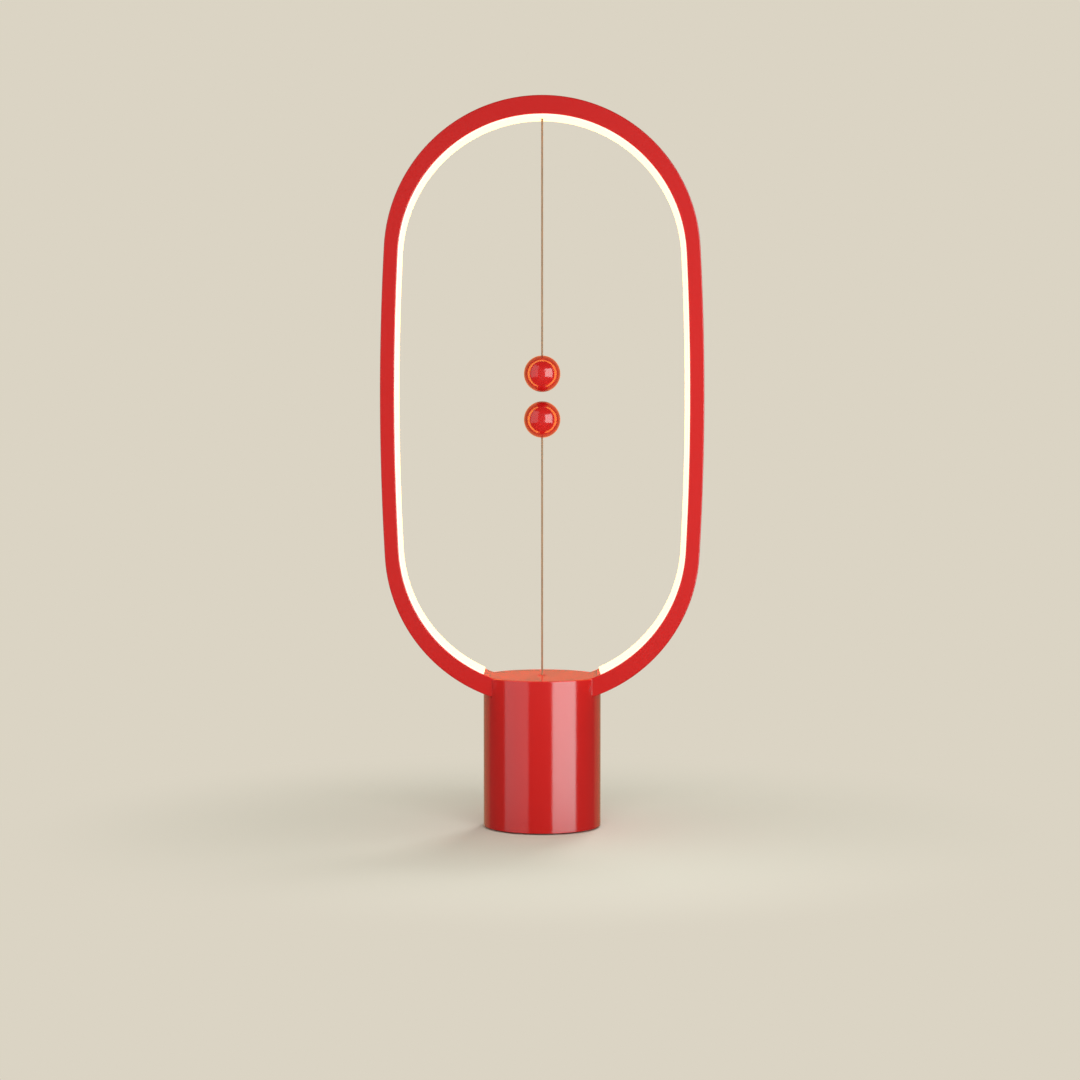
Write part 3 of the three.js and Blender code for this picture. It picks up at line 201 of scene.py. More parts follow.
class StageSettings(bpy.types.PropertyGroup):
    """Camera and lamps. Lights have their power, and what shines its brightness."""

    lens: number("Lens", "Focal length in mm", 89.42)
    pitch: number("Pitch", "How far the camera looks down", math.radians(3.185), subtype="ANGLE")
    distance: length("Distance", "Lamp to camera", 1475 * MM)
    height: length("Height", "Camera above the floor", 240.6 * MM)
    offset: number("Offset", "Camera's place to the side", -1.18 * MM, unit="LENGTH")
    soft_front: number("Front light", "Light in front, on the lamp", 1.12)
    soft_floor: number("Floor light", "Light in front, on the floor", 1.45)
    soft_back: number("Back light", "Light behind", 6.0)
    dark_wall: number("Dark wall", "Mirrored in front", 0.2)
    back_wall: number("Back wall", "Mirrored from behind", 0.6)
    window: number("Window", "Mirrored on the right", 6.8)
    pale_wall: number("Pale wall", "Mirrored on the left", 1.5)
    warm_wall: number("Warm wall", "Mirrored by the balls' rims", 1.0)
    ambient: number("Ambient", "The room's light", 0.5)
    glow: number("Glow", "Light that the ring throws", 10.5)
    shine: number("Shine", "The ring's light, mirrored", 9.0)


class LampSettings(bpy.types.PropertyGroup):
    """All that the lamp is made from."""

    ring: PointerProperty(type=RingSizes)
    base: PointerProperty(type=BaseSizes)
    ball: PointerProperty(type=BallSizes)
    cord: PointerProperty(type=CordSizes)
    colours: PointerProperty(type=LampColours)
    stage: PointerProperty(type=StageSettings)


def lamp_settings():
    return bpy.context.scene.magnetic_lamp


# Colours, nodes and materials


def linear(hex_colour):
    """A colour written as an sRGB hex value, as linear red, green, blue and an alpha of 1."""
    def channel(share):
        return share / 12.92 if share <= 0.04045 else ((share + 0.055) / 1.055) ** 2.4
    digits = hex_colour.lstrip("#")
    return [channel(int(digits[i:i + 2], 16) / 255) for i in (0, 2, 4)] + [1.0]


def add_node(tree, kind, inputs=None, **settings):
    """Adds a node with its settings. An input, by its name or number, gets a value, another node's
    output, or another node for its first output."""
    node = tree.nodes.new(kind)
    for key, value in settings.items():
        setattr(node, key, value)
    for key, value in (inputs or {}).items():
        if isinstance(value, bpy.types.Node):
            value = value.outputs[0]
        if isinstance(value, bpy.types.NodeSocket):
            tree.links.new(value, node.inputs[key])
        else:
            node.inputs[key].default_value = value
    return node


def new_material(name):
    """An empty node material."""
    material = bpy.data.materials.new(name)
    material.use_nodes = True
    material.node_tree.nodes.clear()
    return material, material.node_tree


FINE_DETAIL = 3.0
WIDE_DETAIL = 2.0
WIDE_SHARE = 0.12


def surface(
        name, hex_colour, roughness, grain, depth, shade=0.9, spread=0.15, stretch=(1, 1, 1), **more):
    """A Principled material whose grain, of the given real size and depth, moves its colour, its
    roughness and its bump. shade is how dark the colour gets where the wide part of the grain is
    low, spread how far the roughness strays, and stretch makes the grain longer along an axis
    with a lower number."""
    material, tree = new_material(name)
    place = add_node(tree, "ShaderNodeTexCoord").outputs["Object"]
    if stretch != (1, 1, 1):
        place = add_node(tree, "ShaderNodeMapping", {"Vector": place, "Scale": stretch})
    noise, wide = (
        add_node(tree, "ShaderNodeTexNoise", {"Vector": place, "Scale": scale, "Detail": detail})
        for scale, detail in ((1 / grain, FINE_DETAIL), (WIDE_SHARE / grain, WIDE_DETAIL)))
    full = linear(hex_colour)
    dim = [channel * shade for channel in full[:3]] + [1.0]
    # The two colours of a Mix node are its inputs 6 and 7, and its result is output 2.
    tone = add_node(tree, "ShaderNodeMix", {0: wide, 6: dim, 7: full}, data_type="RGBA")
    rough = add_node(tree, "ShaderNodeMapRange", {
        "Value": noise,
        "To Min": roughness * (1 - spread),
        "To Max": roughness * (1 + spread),
    })
    bump = add_node(tree, "ShaderNodeBump", {"Distance": depth, "Height": noise})
    shader = add_node(tree, "ShaderNodeBsdfPrincipled", {
        "Base Color": tone.outputs[2],
        "Roughness": rough,
        "Normal": bump,
        **more,
    })
    add_node(tree, "ShaderNodeOutputMaterial", {"Surface": shader})
    return material


def gloss_red_abs():
    """Injection-moulded ABS, coloured red all through and left as it comes from a polished
    mould: sharp highlights with soft sides, and the faint waves of flow in large faces."""
    return surface(
        "gloss_red_abs", lamp_settings().colours.red, 0.15, 2.5 * MM, 0.0005 * MM,
        shade=0.97, spread=0.1, IOR=1.53)


def plain_red_abs():
    """The same ABS from an unpolished tool, on pieces that nobody sees: a dry, even grain."""
    return surface("plain_red_abs", "#B3221F", 0.55, 0.4 * MM, 0.02 * MM, IOR=1.53)


def lit_opal_polycarbonate():
    """Opal polycarbonate with a strip of warm chips behind it. It lets half of the room's light
    in, and shines so evenly that the eye sees a plain band of warm white."""
    return surface(
        "lit_opal_polycarbonate", lamp_settings().colours.light, 0.4, 0.5 * MM, 0.005 * MM,
        shade=0.98, IOR=1.58, **{
            "Emission Color": linear("#FFFCE2"),
            "Emission Strength": 0.75,
        })


def braided_polyester():
    """Fine braided polyester cord: dull strands with a fibre grain that runs along the cord, and
    a little sheen where a strand turns over."""
    return surface(
        "braided_polyester", lamp_settings().colours.cord, 0.7, 0.12 * MM, 0.02 * MM,
        shade=0.7, stretch=(1, 1, 0.25), IOR=1.5, **{"Sheen Weight": 0.25})


def moulded_rubber():
    """Compression-moulded foot rubber: dark, dry and faintly dusty."""
    return surface("moulded_rubber", "#262628", 0.85, 0.35 * MM, 0.03 * MM, shade=0.8, IOR=1.52)


def cast_iron():
    """Sand-cast, blackened iron: a coarse, pitted skin."""
    return surface(
        "cast_iron", "#4A4B4E", 0.62, 0.9 * MM, 0.12 * MM, shade=0.75, spread=0.25, Metallic=1.0)


def zinc_plated_steel():
    """Bright zinc on steel screws: a cool metal with faint turning marks."""
    return surface(
        "zinc_plated_steel", "#B9BCC0", 0.3, 0.2 * MM, 0.008 * MM, stretch=(1, 1, 4), Metallic=1.0)


def drawn_spring_steel():
    """Drawn wire and strip: fine marks along the draw and a grey, slightly oily shine."""
    return surface(
        "drawn_spring_steel", "#9DA1A6", 0.32, 0.15 * MM, 0.006 * MM, stretch=(1, 1, 3), Metallic=1.0)


def moulded_nylon():
    """Natural grey nylon: soft, waxy and a little translucent."""
    return surface(
        "moulded_nylon", "#8D9196", 0.48, 0.6 * MM, 0.015 * MM, IOR=1.53,
        **{"Subsurface Weight": 0.1, "Subsurface Scale": 0.5 * MM})


def black_abs():
    """Black ABS from a spark-eroded tool: a fine, even texture that kills the shine."""
    return surface("black_abs", "#1D1E21", 0.5, 0.3 * MM, 0.03 * MM, shade=0.85, IOR=1.53)


def white_nylon():
    """White nylon and white solder mask: bright, smooth and slightly soft."""
    return surface("white_nylon", "#E8E8E2", 0.42, 0.5 * MM, 0.008 * MM, shade=0.97, IOR=1.53)


def soft_insulation():
    """Silicone insulation on stranded wire: satin, with faint ripples from the strands."""
    return surface("soft_insulation", "#DCDCD8", 0.5, 0.7 * MM, 0.03 * MM, shade=0.94, IOR=1.43)


def glass_fibre_board():
    """Glass-fibre board under green solder mask: the weave shows as fine crossing squares."""
    material, tree = new_material("glass_fibre_board")
    place = add_node(tree, "ShaderNodeTexCoord").outputs["Object"]
    weave = add_node(tree, "ShaderNodeTexBrick", {
        "Vector": place,
        "Color1": linear("#1F5D3A"),
        "Color2": linear("#1B5334"),
        "Mortar": linear("#174A2E"),
        "Scale": 1.0,
        "Mortar Size": 0.05 * MM,
        "Brick Width": 0.5 * MM,
        "Row Height": 0.5 * MM,
    }, offset=0.5)
    bump = add_node(
        tree, "ShaderNodeBump", {"Distance": 0.01 * MM, "Height": weave.outputs["Fac"]}, invert=True)
    shader = add_node(tree, "ShaderNodeBsdfPrincipled", {
        "Base Color": weave.outputs["Color"],
        "Roughness": 0.3,
        "IOR": 1.55,
        "Normal": bump,
    })
    add_node(tree, "ShaderNodeOutputMaterial", {"Surface": shader})
    return material


def nickel_plate():
    """Nickel plate on magnets and the socket's shell: a warm mirror with fine handling marks."""
    return surface(
        "nickel_plate", "#C4C6C9", 0.16, 0.3 * MM, 0.004 * MM, spread=0.4, Metallic=1.0)


def turned_brass():
    """Plain turned brass: yellow, with fine rings."""
    return surface(
        "turned_brass", "#C39A4A", 0.28, 0.15 * MM, 0.008 * MM, stretch=(1, 1, 5), Metallic=1.0)


FINISHES = {}


def finish(maker):
    """The material that a maker function gives, made once."""
    if maker not in FINISHES:
        FINISHES[maker] = maker()
    return FINISHES[maker]


# Meshes


def finished_mesh(mesh):
    """Merges what lies together, turns the faces outwards and keeps real edges sharp."""
    work = bmesh.new()
    work.from_mesh(mesh)
    bmesh.ops.remove_doubles(work, verts=work.verts, dist=TINY)
    bmesh.ops.dissolve_degenerate(work, edges=work.edges, dist=TINY)
    bmesh.ops.recalc_face_normals(work, faces=work.faces)
    work.to_mesh(mesh)
    work.free()
    mesh.shade_smooth()
    mesh.set_sharp_from_angle(angle=SHARP_ANGLE)
    return mesh


def new_object(name, data):
    """An object in the scene, from its mesh, light or camera."""
    obj = bpy.data.objects.new(name, data)
    bpy.context.scene.collection.objects.link(obj)
    return obj


def mesh_object(name, vertices=(), faces=()):
    """An object from vertices and faces, or an empty mesh that a tree fills."""
    mesh = bpy.data.meshes.new(name)
    mesh.from_pydata(vertices, [], faces)
    return new_object(name, mesh)


def new_piece(name, vertices, faces):
    """A closed piece from its vertices and faces."""
    obj = mesh_object(name, vertices, faces)
    finished_mesh(obj.data)
    return obj


def rounded(corners):
    """An outline whose corners are (across, up, radius). A radius above 0 makes the corner an arc,
    with one more point on each side that keeps the shading of the flats flat."""
    points = []
    for i, (across, up, radius) in enumerate(corners):
        here = Vector((across, up))
        if radius == 0:
            points.append(tuple(here))
            continue
        back = (Vector(corners[i - 1][:2]) - here).normalized()
        on = (Vector(corners[(i + 1) % len(corners)][:2]) - here).normalized()
        half = back.angle(on) / 2
        reach = radius / math.tan(half)
        centre = here + (back + on).normalized() * (radius / math.sin(half))
        first = here + back * reach - centre
        last = here + on * reach - centre
        turn = math.copysign(math.pi - 2 * half, first.x * last.y - first.y * last.x)
        support = radius * SUPPORT_SHARE
        points.append(tuple(here + back * (reach + support)))
        for step in range(FILLET_STEPS + 1):
            spoke = Matrix.Rotation(turn * step / FILLET_STEPS, 2) @ first
            points.append(tuple(centre + spoke))
        points.append(tuple(here + on * (reach + support)))
    return points


def arc(centre, radius, start, end, steps):
    """Points (across, up) on an arc, from a start angle to an end angle."""
    angles = [start + (end - start) * i / steps for i in range(steps + 1)]
    return [(centre[0] + radius * math.cos(a), centre[1] + radius * math.sin(a)) for a in angles]


def lathe(name, profile, steps=LATHE_STEPS):
    """Turns a profile of (radius, height) about the lamp's middle line. It closes on itself, or
    starts and ends on that line."""
    vertices = []
    rings = []
    for radius, height in profile:
        count = 1 if radius < TINY else steps
        rings.append(range(len(vertices), len(vertices) + count))
        for i in range(count):
            angle = 2 * math.pi * i / steps
            vertices.append((radius * math.cos(angle), radius * math.sin(angle), height))
    pairs = list(zip(rings, rings[1:]))
    if len(rings[0]) > 1:
        pairs.append((rings[-1], rings[0]))
    faces = []
    for low, high in pairs:
        for i in range(steps):
            j = (i + 1) % steps
            corners = [low[i % len(low)], low[j % len(low)], high[j % len(high)], high[i % len(high)]]
            faces.append(list(dict.fromkeys(corners)))
    return new_piece(name, vertices, faces)


def row_faces(row_count, count):
    """Faces between rows of as many vertices each, with the first and the last row closed."""
    rows = [range(i * count, (i + 1) * count) for i in range(row_count)]
    faces = [list(rows[0]), list(rows[-1])]
    for low, high in zip(rows, rows[1:]):
        for i in range(count):
            j = (i + 1) % count
            faces.append([low[i], low[j], high[j], high[i]])
    return faces


def loft(name, loops):
    """A closed skin through loops of (x, y, z) points, with its two ends closed."""
    vertices = [point for loop in loops for point in loop]
    return new_piece(name, vertices, row_faces(len(loops), len(loops[0])))


def stadium(half_width, half_height, centre):
    """An outline of (x, z) points with round ends, about a height."""
    straight = half_width - half_height
    quarter = math.pi / 2
    right = arc((straight, centre), half_height, -quarter, quarter, ARC_STEPS)
    left = arc((-straight, centre), half_height, quarter, 3 * quarter, ARC_STEPS)
    return right + left


def stadium_loft(name, loops):
    """A loft through outlines of (x, z) points, each at its depth."""
    return loft(name, [[(x, y, z) for x, z in outline] for outline, y in loops])


def evaluated_mesh(obj):
    """The mesh that an object's modifiers make, with the modifiers taken off."""
    depsgraph = bpy.context.evaluated_depsgraph_get()
    mesh = bpy.data.meshes.new_from_object(
        obj.evaluated_get(depsgraph), preserve_all_data_layers=True, depsgraph=depsgraph)
    obj.modifiers.clear()
    old = obj.data
    obj.data = mesh
    bpy.data.meshes.remove(old)
    return mesh


def cut(obj, cutter, operation="DIFFERENCE"):
    """Cuts or joins another mesh and deletes it."""
    modifier = obj.modifiers.new("cut", "BOOLEAN")
    modifier.operation = operation
    modifier.solver = "EXACT"
    modifier.object = cutter
    finished_mesh(evaluated_mesh(obj))
    bpy.data.objects.remove(cutter)


def paint(obj, material):
    """Gives an object one material."""
    obj.data.materials.clear()
    obj.data.materials.append(material)


def dress(obj, maker, body, slot, *nodes):
    """Gives a finished piece its material, the body it rides on and what it replaces. slot is not
    used.
    """
    paint(obj, finish(maker))
    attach(obj, body)
    if nodes:
        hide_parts(*nodes)
    return obj


# Geometry node trees


def new_tree(name, floats, others=()):
    """A geometry node tree with named inputs: numbers, other kinds and a material. Gives the
    tree and its input node's outputs."""
    tree = bpy.data.node_groups.new(name, "GeometryNodeTree")
    sockets = [*others, *((label, "Float") for label in floats), ("Material", "Material")]
    for label, kind in sockets:
        tree.interface.new_socket(label, in_out="INPUT", socket_type="NodeSocket" + kind)
    tree.interface.new_socket("Geometry", in_out="OUTPUT", socket_type="NodeSocketGeometry")
    return tree, add_node(tree, "NodeGroupInput").outputs


def end_tree(tree, geometry, material):
    """Ends a tree in Realize Instances and Set Material."""
    real = add_node(tree, "GeometryNodeRealizeInstances", {"Geometry": geometry})
    dressed = add_node(tree, "GeometryNodeSetMaterial", {"Geometry": real, "Material": material})
    add_node(tree, "NodeGroupOutput", {"Geometry": dressed})
    return tree


def grow(obj, tree, values):
    """Runs a tree with its named inputs on an object and keeps the result as a plain mesh."""
    modifier = obj.modifiers.new("grow", "NODES")
    modifier.node_group = tree
    for item in tree.interface.items_tree:
        if item.in_out == "INPUT" and item.name in values:
            modifier[item.identifier] = values[item.name]
    finished_mesh(evaluated_mesh(obj))
    return obj


OF_TWO = {
    "+": "ADD", "-": "SUBTRACT", "*": "MULTIPLY", "/": "DIVIDE", "%": "MODULO", "<": "LESS_THAN",
    "min": "MINIMUM", "max": "MAXIMUM", "atan2": "ARCTAN2",
}
OF_ONE = {"abs": "ABSOLUTE", "sign": "SIGN", "sin": "SINE", "cos": "COSINE"}


def follow(tree, rule, values):
    """Adds one Math node for each line of a rule, such as "drop = height * share" or "size = abs
    drop". values holds what the rule starts from by name, and gets the node of each line."""
    for line in rule.strip().splitlines():
        name, _, *terms = line.split()
        if terms[0] in OF_ONE:
            operation, inputs = OF_ONE[terms[0]], terms[1:]
        else:
            operation, inputs = OF_TWO[terms[1]], terms[::2]
        numbers = {
            i: values[term] if term in values else float(term) for i, term in enumerate(inputs)}
        values[name] = add_node(tree, "ShaderNodeMath", numbers, operation=operation, label=name)
    return values


# The rule of the ring's two outlines. Each is an oval of two wide side arcs and two caps. A turn
# from -2 to 2 says where on it a point lies: 0 is the top, 1 the right side and 2 the bottom.
OVAL_RULE = """
    cap_radius = half_width - bulge
    cap_rise = half_height - cap_radius
    width_squared = half_width * half_width
    rise_squared = cap_rise * cap_rise
    cap_squared = cap_radius * cap_radius
    reach_squared = width_squared + rise_squared
    excess = reach_squared - cap_squared
    half_excess = excess * 0.5
    side_radius = half_excess / bulge
    side_centre = side_radius - half_width
    join_angle = cap_rise atan2 side_centre
    cap_angle = quarter_turn - join_angle
    reach = abs turn
    past_side = reach - 1
    from_side = abs past_side
    on_side = from_side < side_share
    on_cap = 1 - on_side
    side_part = from_side / side_share
    side_part_kept = side_part min 1
    past_join = from_side - side_share
    cap_share = 1 - side_share
    cap_part = past_join / cap_share
    cap_part_kept = cap_part max 0
    side_angle = join_angle * side_part_kept
    over_angle = cap_angle * cap_part_kept
    angle = side_angle + over_angle
    side_radius_here = side_radius * on_side
    cap_radius_here = cap_radius * on_cap
    full_radius = side_radius_here + cap_radius_here
    radius = full_radius - inset
    cosine = cos angle
    sine = sin angle
    across = radius * cosine
    up = radius * sine
    centre_back = side_centre * on_side
    centre_up = cap_rise * on_cap
    from_middle = across - centre_back
    above_middle = up + centre_up
    right = sign turn
    downward = sign past_side
    x = from_middle * right
    drop = above_middle * downward
    z = centre_height - drop
"""
SIDE_SHARE = 0.39
STATIONS = 288
BOTTOM = 2.0


def ring_tree():
    """Lays a band of stations round the ring. Each vertex says its turn, its depth, its outline
    (0 is the outer and 1 the inner) and how far it is set in from that outline."""
    tree, given = new_tree("ring_band", [
        "Outer Half Width", "Outer Half Height", "Outer Bulge",
        "Inner Half Width", "Inner Half Height", "Inner Bulge", "Centre Height", "Side Share",
    ], [("Geometry", "Geometry")])
    values = {
        "side_share": given["Side Share"],
        "centre_height": given["Centre Height"],
        "quarter_turn": math.pi / 2,
    }
    for name in ("turn", "depth", "outline", "inset"):
        values[name] = add_node(
            tree, "GeometryNodeInputNamedAttribute", {"Name": name}, data_type="FLOAT")
    for label in ("Half Width", "Half Height", "Bulge"):
        values[label.lower().replace(" ", "_")] = add_node(tree, "ShaderNodeMix", {
            0: values["outline"], 2: given["Outer " + label], 3: given["Inner " + label],
        }, data_type="FLOAT")
    follow(tree, OVAL_RULE, values)
    place = add_node(
        tree, "ShaderNodeCombineXYZ", {"X": values["x"], "Y": values["depth"], "Z": values["z"]})
    laid = add_node(
        tree, "GeometryNodeSetPosition", {"Geometry": given["Geometry"], "Position": place})
    return end_tree(tree, laid, given["Material"])


def bottom_turn(x):
    """The turn at which the inner outline is x from the middle, beside the base."""
    ring = lamp_settings().ring
    half_width = ring.half_width - ring.face_side
    cap_radius = half_width - ring.inner_bulge
    cap_rise = ring.half_height - ring.face_top - cap_radius
    side_radius = (half_width ** 2 + cap_rise ** 2 - cap_radius ** 2) / (2 * ring.inner_bulge)
    join_angle = math.atan2(cap_rise, side_radius - half_width)
    angle = math.acos(x / cap_radius)
    cap_part = (angle - join_angle) / (math.pi / 2 - join_angle)
    return 1 + SIDE_SHARE + (1 - SIDE_SHARE) * cap_part


def turns_between(start, end):
    """Evenly spaced turns, about as close as the stations of the whole ring."""
    steps = max(2, math.ceil(STATIONS * (end - start) / (2 * BOTTOM)))
    return [start + (end - start) * i / steps for i in range(steps + 1)]


def band(name, stations, material=None):
    """A band round the ring from stations, each a turn and its section of (depth, outline,
    inset) points, with its two ends closed."""
    if "ring_band" not in bpy.data.node_groups:
        ring_tree()
    ring = lamp_settings().ring
    rows = [(turn, *point) for turn, section in stations for point in section]
    faces = row_faces(len(stations), len(stations[0][1]))
    obj = mesh_object(name, [(0, 0, 0)] * len(rows), faces)
    told = ("turn", "depth", "outline", "inset")
    for key, numbers in zip(told, zip(*rows)):
        obj.data.attributes.new(key, "FLOAT", "POINT").data.foreach_set("value", numbers)
    grow(obj, bpy.data.node_groups["ring_band"], {
        "Outer Half Width": ring.half_width,
        "Outer Half Height": ring.half_height,
        "Outer Bulge": ring.side_bulge,
        "Inner Half Width": ring.half_width - ring.face_side,
        "Inner Half Height": ring.half_height - ring.face_top,
        "Inner Bulge": ring.inner_bulge,
        "Centre Height": RING_HIGH[2] - ring.half_height,
        "Side Share": SIDE_SHARE,
        "Material": material,
    })
    for key in told:
        obj.data.attributes.remove(obj.data.attributes[key])
    return obj


def plain_band(name, half_depth, outer_inset, inner_inset, turns):
    """A band of rectangular section between two turns."""
    section = [(-half_depth, 0.0, outer_inset), (half_depth, 0.0, outer_inset),
               (half_depth, 1.0, inner_inset), (-half_depth, 1.0, inner_inset)]
    return band(name, [(turn, section) for turn in turns_between(*turns)])


def on_both_sides(start, end):
    """Two turns on the left and on the right of the ring, each pair in rising order."""
    return (-end, -start), (start, end)


def corner(depth, outline, radius, facing):
    """Points of a rounded section corner. facing is (depth, inset) of the way to the corner's
    centre; the arc starts on the face that runs along the inset."""
    side, inward = facing
    points = []
    for i in range(FILLET_STEPS + 1):
        angle = math.pi / 2 * i / FILLET_STEPS
        points.append((
            depth + side * radius * (1 - math.cos(angle)),
            outline,
            inward * radius * (1 - math.sin(angle)),
        ))
    first = (points[0][0], outline, points[0][2] + inward * radius * SUPPORT_SHARE)
    last = (points[-1][0] + side * radius * SUPPORT_SHARE, outline, points[-1][2])
    return [first, *points, last]


def mirrored(half_section):
    """A whole section from its half with positive depth, which starts and ends at the middle."""
    return half_section + [(-depth, *rest) for depth, *rest in reversed(half_section)]


# Stage


def link_group(name, obj=None, state="INCLUDE"):
    """A named group of objects that a light falls on alone, or leaves out, with one more in it."""
    group = bpy.data.collections.get(name) or bpy.data.collections.new(name)
    if obj:
        group.objects.link(obj)
        group.collection_objects[-1].light_linking.link_state = state
    return group


def keep_dark(obj):
    """Adds an object to those on which the ring's glow doesn't fall, as in the photograph."""
    return link_group("kept_dark", obj, "EXCLUDE")


def is_ray(tree, *kinds):
    """1 for rays of the given kinds, which are outputs of the Light Path node."""
    path = add_node(tree, "ShaderNodeLightPath").outputs
    found = path[kinds[0]]
    for kind in kinds[1:]:
        found = add_node(tree, "ShaderNodeMath", {0: found, 1: path[kind]}, operation="MAXIMUM")
    return found


# The stage's places are in metres and its azimuths in degrees from the front, positive to the right.
FLOOR_RADIUS = 6.0
FLOOR_SIDES = 64
FLOOR_HEIGHT = -0.02 * MM
FADE_START, FADE_END = 0.05, 0.30
SENSOR_WIDTH = 36.0
FARTHEST_SEEN = 50.0
SOFT_SIZE = 0.4
SOFT_AIM = (0, 0, 0.24)
ALL_HEIGHTS = (-12, 12)
WALL_STEPS = 24
GLOW_CLEARANCE = 0.1 * MM


class LAMP_OT_stage(bpy.types.Operator):
    """Camera, lamps, floor and room"""
    bl_idname = "magnetic_lamp.stage"
    bl_label = "Stage"

    def execute(self, context):
        settings = lamp_settings().stage
        colours = lamp_settings().colours
        self.room(settings, colours)
        floor = self.floor(colours)
        self.camera(context, settings)
        lamp_only = link_group("all_but_floor", floor, "EXCLUDE")
        for name, azimuth, distance, height, receivers in (
            ("soft_front", 10.0, 0.30, 0.25, lamp_only),
            ("soft_floor", 10.0, 0.42, 0.26, link_group("only_floor", floor)),
            ("soft_back", 160.0, 1.1, 0.7, None),
        ):
            light = self.soft_light(name, azimuth, distance, height, getattr(settings, name))
            light.light_linking.receiver_collection = receivers
        for name, azimuths, distance, heights, hex_colour in (
            ("dark_wall", (-125, 125), 2.0, ALL_HEIGHTS, colours.wall),
            ("back_wall", (125, 235), 2.0, ALL_HEIGHTS, colours.back_wall),
            ("window", (19.8, 69), 1.5, (-0.25, 1.12), colours.day),
            ("pale_wall", (-77.5, -26.5), 1.5, (-0.25, 2.04), colours.day),
        ):
            wall = self.wall(name, azimuths, distance, heights)
            self.only_mirrored(wall, linear(hex_colour), getattr(settings, name))
        warm = self.wall("warm_wall", (100, 260), 1.9, ALL_HEIGHTS)
        self.only_mirrored(warm, linear(colours.warm), settings.warm_wall, clear=True)
        warm.light_linking.receiver_collection = link_group("ball_rims")
        self.only_mirrored(self.ring_light("ring_shine"), linear(colours.glow), settings.shine)
        glow = self.ring_light("ring_glow")
        self.only_shines(glow, linear(colours.glow), settings.glow)
        glow.visible_glossy = False
        glow.light_linking.receiver_collection = keep_dark(floor)
        context.scene.view_settings.view_transform = "Standard"
        return {"FINISHED"}

    def room(self, settings, colours):
        """The room: its own colour where it is seen or mirrored, a dimmer light elsewhere."""
        world = bpy.data.worlds.new("room")
        bpy.context.scene.world = world
        world.use_nodes = True
        tree = world.node_tree
        tree.nodes.clear()
        wall = linear(colours.wall)
        lit, seen = (
            add_node(tree, "ShaderNodeBackground", {"Color": wall, "Strength": strength})
            for strength in (settings.ambient, 1.0))
        directly = is_ray(tree, "Is Camera Ray", "Is Glossy Ray", "Is Transmission Ray")
        mix = add_node(tree, "ShaderNodeMixShader", {0: directly, 1: lit, 2: seen})
        add_node(tree, "ShaderNodeOutputWorld", {"Surface": mix})

    def floor(self, colours):
        """A pale floor that takes the lamp's shadow and fades into the room's colour. A mirrored
        ray goes through it and finds the same colour in the room."""
        rim = arc((0, 0), FLOOR_RADIUS, 0, 2 * math.pi, FLOOR_SIDES)[:-1]
        rim = [(x, y, FLOOR_HEIGHT) for x, y in rim]
        floor = mesh_object("floor", rim, [list(range(FLOOR_SIDES))])
        material, tree = new_material("pale_floor")
        place = add_node(tree, "ShaderNodeTexCoord").outputs["Object"]
        away = add_node(tree, "ShaderNodeVectorMath", {0: place}, operation="LENGTH")
        fade = add_node(tree, "ShaderNodeMapRange", {
            "Value": away.outputs["Value"], "From Min": FADE_START, "From Max": FADE_END,
        }, interpolation_type="SMOOTHSTEP")
        shown = add_node(
            tree, "ShaderNodeMath", {0: fade, 1: is_ray(tree, "Is Camera Ray")}, operation="MULTIPLY")
        matt = add_node(tree, "ShaderNodeBsdfDiffuse", {"Color": linear(colours.floor)})
        far = add_node(tree, "ShaderNodeEmission", {"Color": linear(colours.wall), "Strength": 1.0})
        faded = add_node(tree, "ShaderNodeMixShader", {0: shown, 1: matt, 2: far})
        mirrored_ray = is_ray(tree, "Is Glossy Ray", "Is Transmission Ray")
        clear = add_node(tree, "ShaderNodeBsdfTransparent")
        mix = add_node(tree, "ShaderNodeMixShader", {0: mirrored_ray, 1: faded, 2: clear})
        add_node(tree, "ShaderNodeOutputMaterial", {"Surface": mix})
        paint(floor, material)
        return floor

    def camera(self, context, settings):
        """The camera, level but for its pitch, in front of the lamp."""
        data = bpy.data.cameras.new("camera")
        data.lens = settings.lens
        data.sensor_width = SENSOR_WIDTH
        data.clip_end = FARTHEST_SEEN
        camera = new_object("camera", data)
        camera.location = (settings.offset, -settings.distance, settings.height)
        camera.rotation_euler = (math.pi / 2 - settings.pitch, 0.0, 0.0)
        context.scene.camera = camera

    def soft_light(self, name, azimuth, distance, height, power):
        """A wide light that faces the lamp and shows in no reflection."""
        data = bpy.data.lights.new(name, "AREA")
        data.size = SOFT_SIZE
        data.energy = power
        light = new_object(name, data)
        angle = math.radians(azimuth)
        light.location = (distance * math.sin(angle), -distance * math.cos(angle), height)
        aim = light.location - Vector(SOFT_AIM)
        light.rotation_euler = aim.to_track_quat("Z", "Y").to_euler()
        light.visible_camera = False
        light.visible_glossy = False
        return light

    def wall(self, name, azimuths, distance, heights):
        """An upright curved sheet round the lamp, between two azimuths and two heights."""
        start, end = (math.radians(angle) for angle in azimuths)
        vertices = []
        for i in range(WALL_STEPS + 1):
            angle = start + (end - start) * i / WALL_STEPS
            for height in heights:
                vertices.append((distance * math.sin(angle), -distance * math.cos(angle), height))
        faces = [(2 * i, 2 * i + 1, 2 * i + 3, 2 * i + 2) for i in range(WALL_STEPS)]
        return mesh_object(name, vertices, faces)

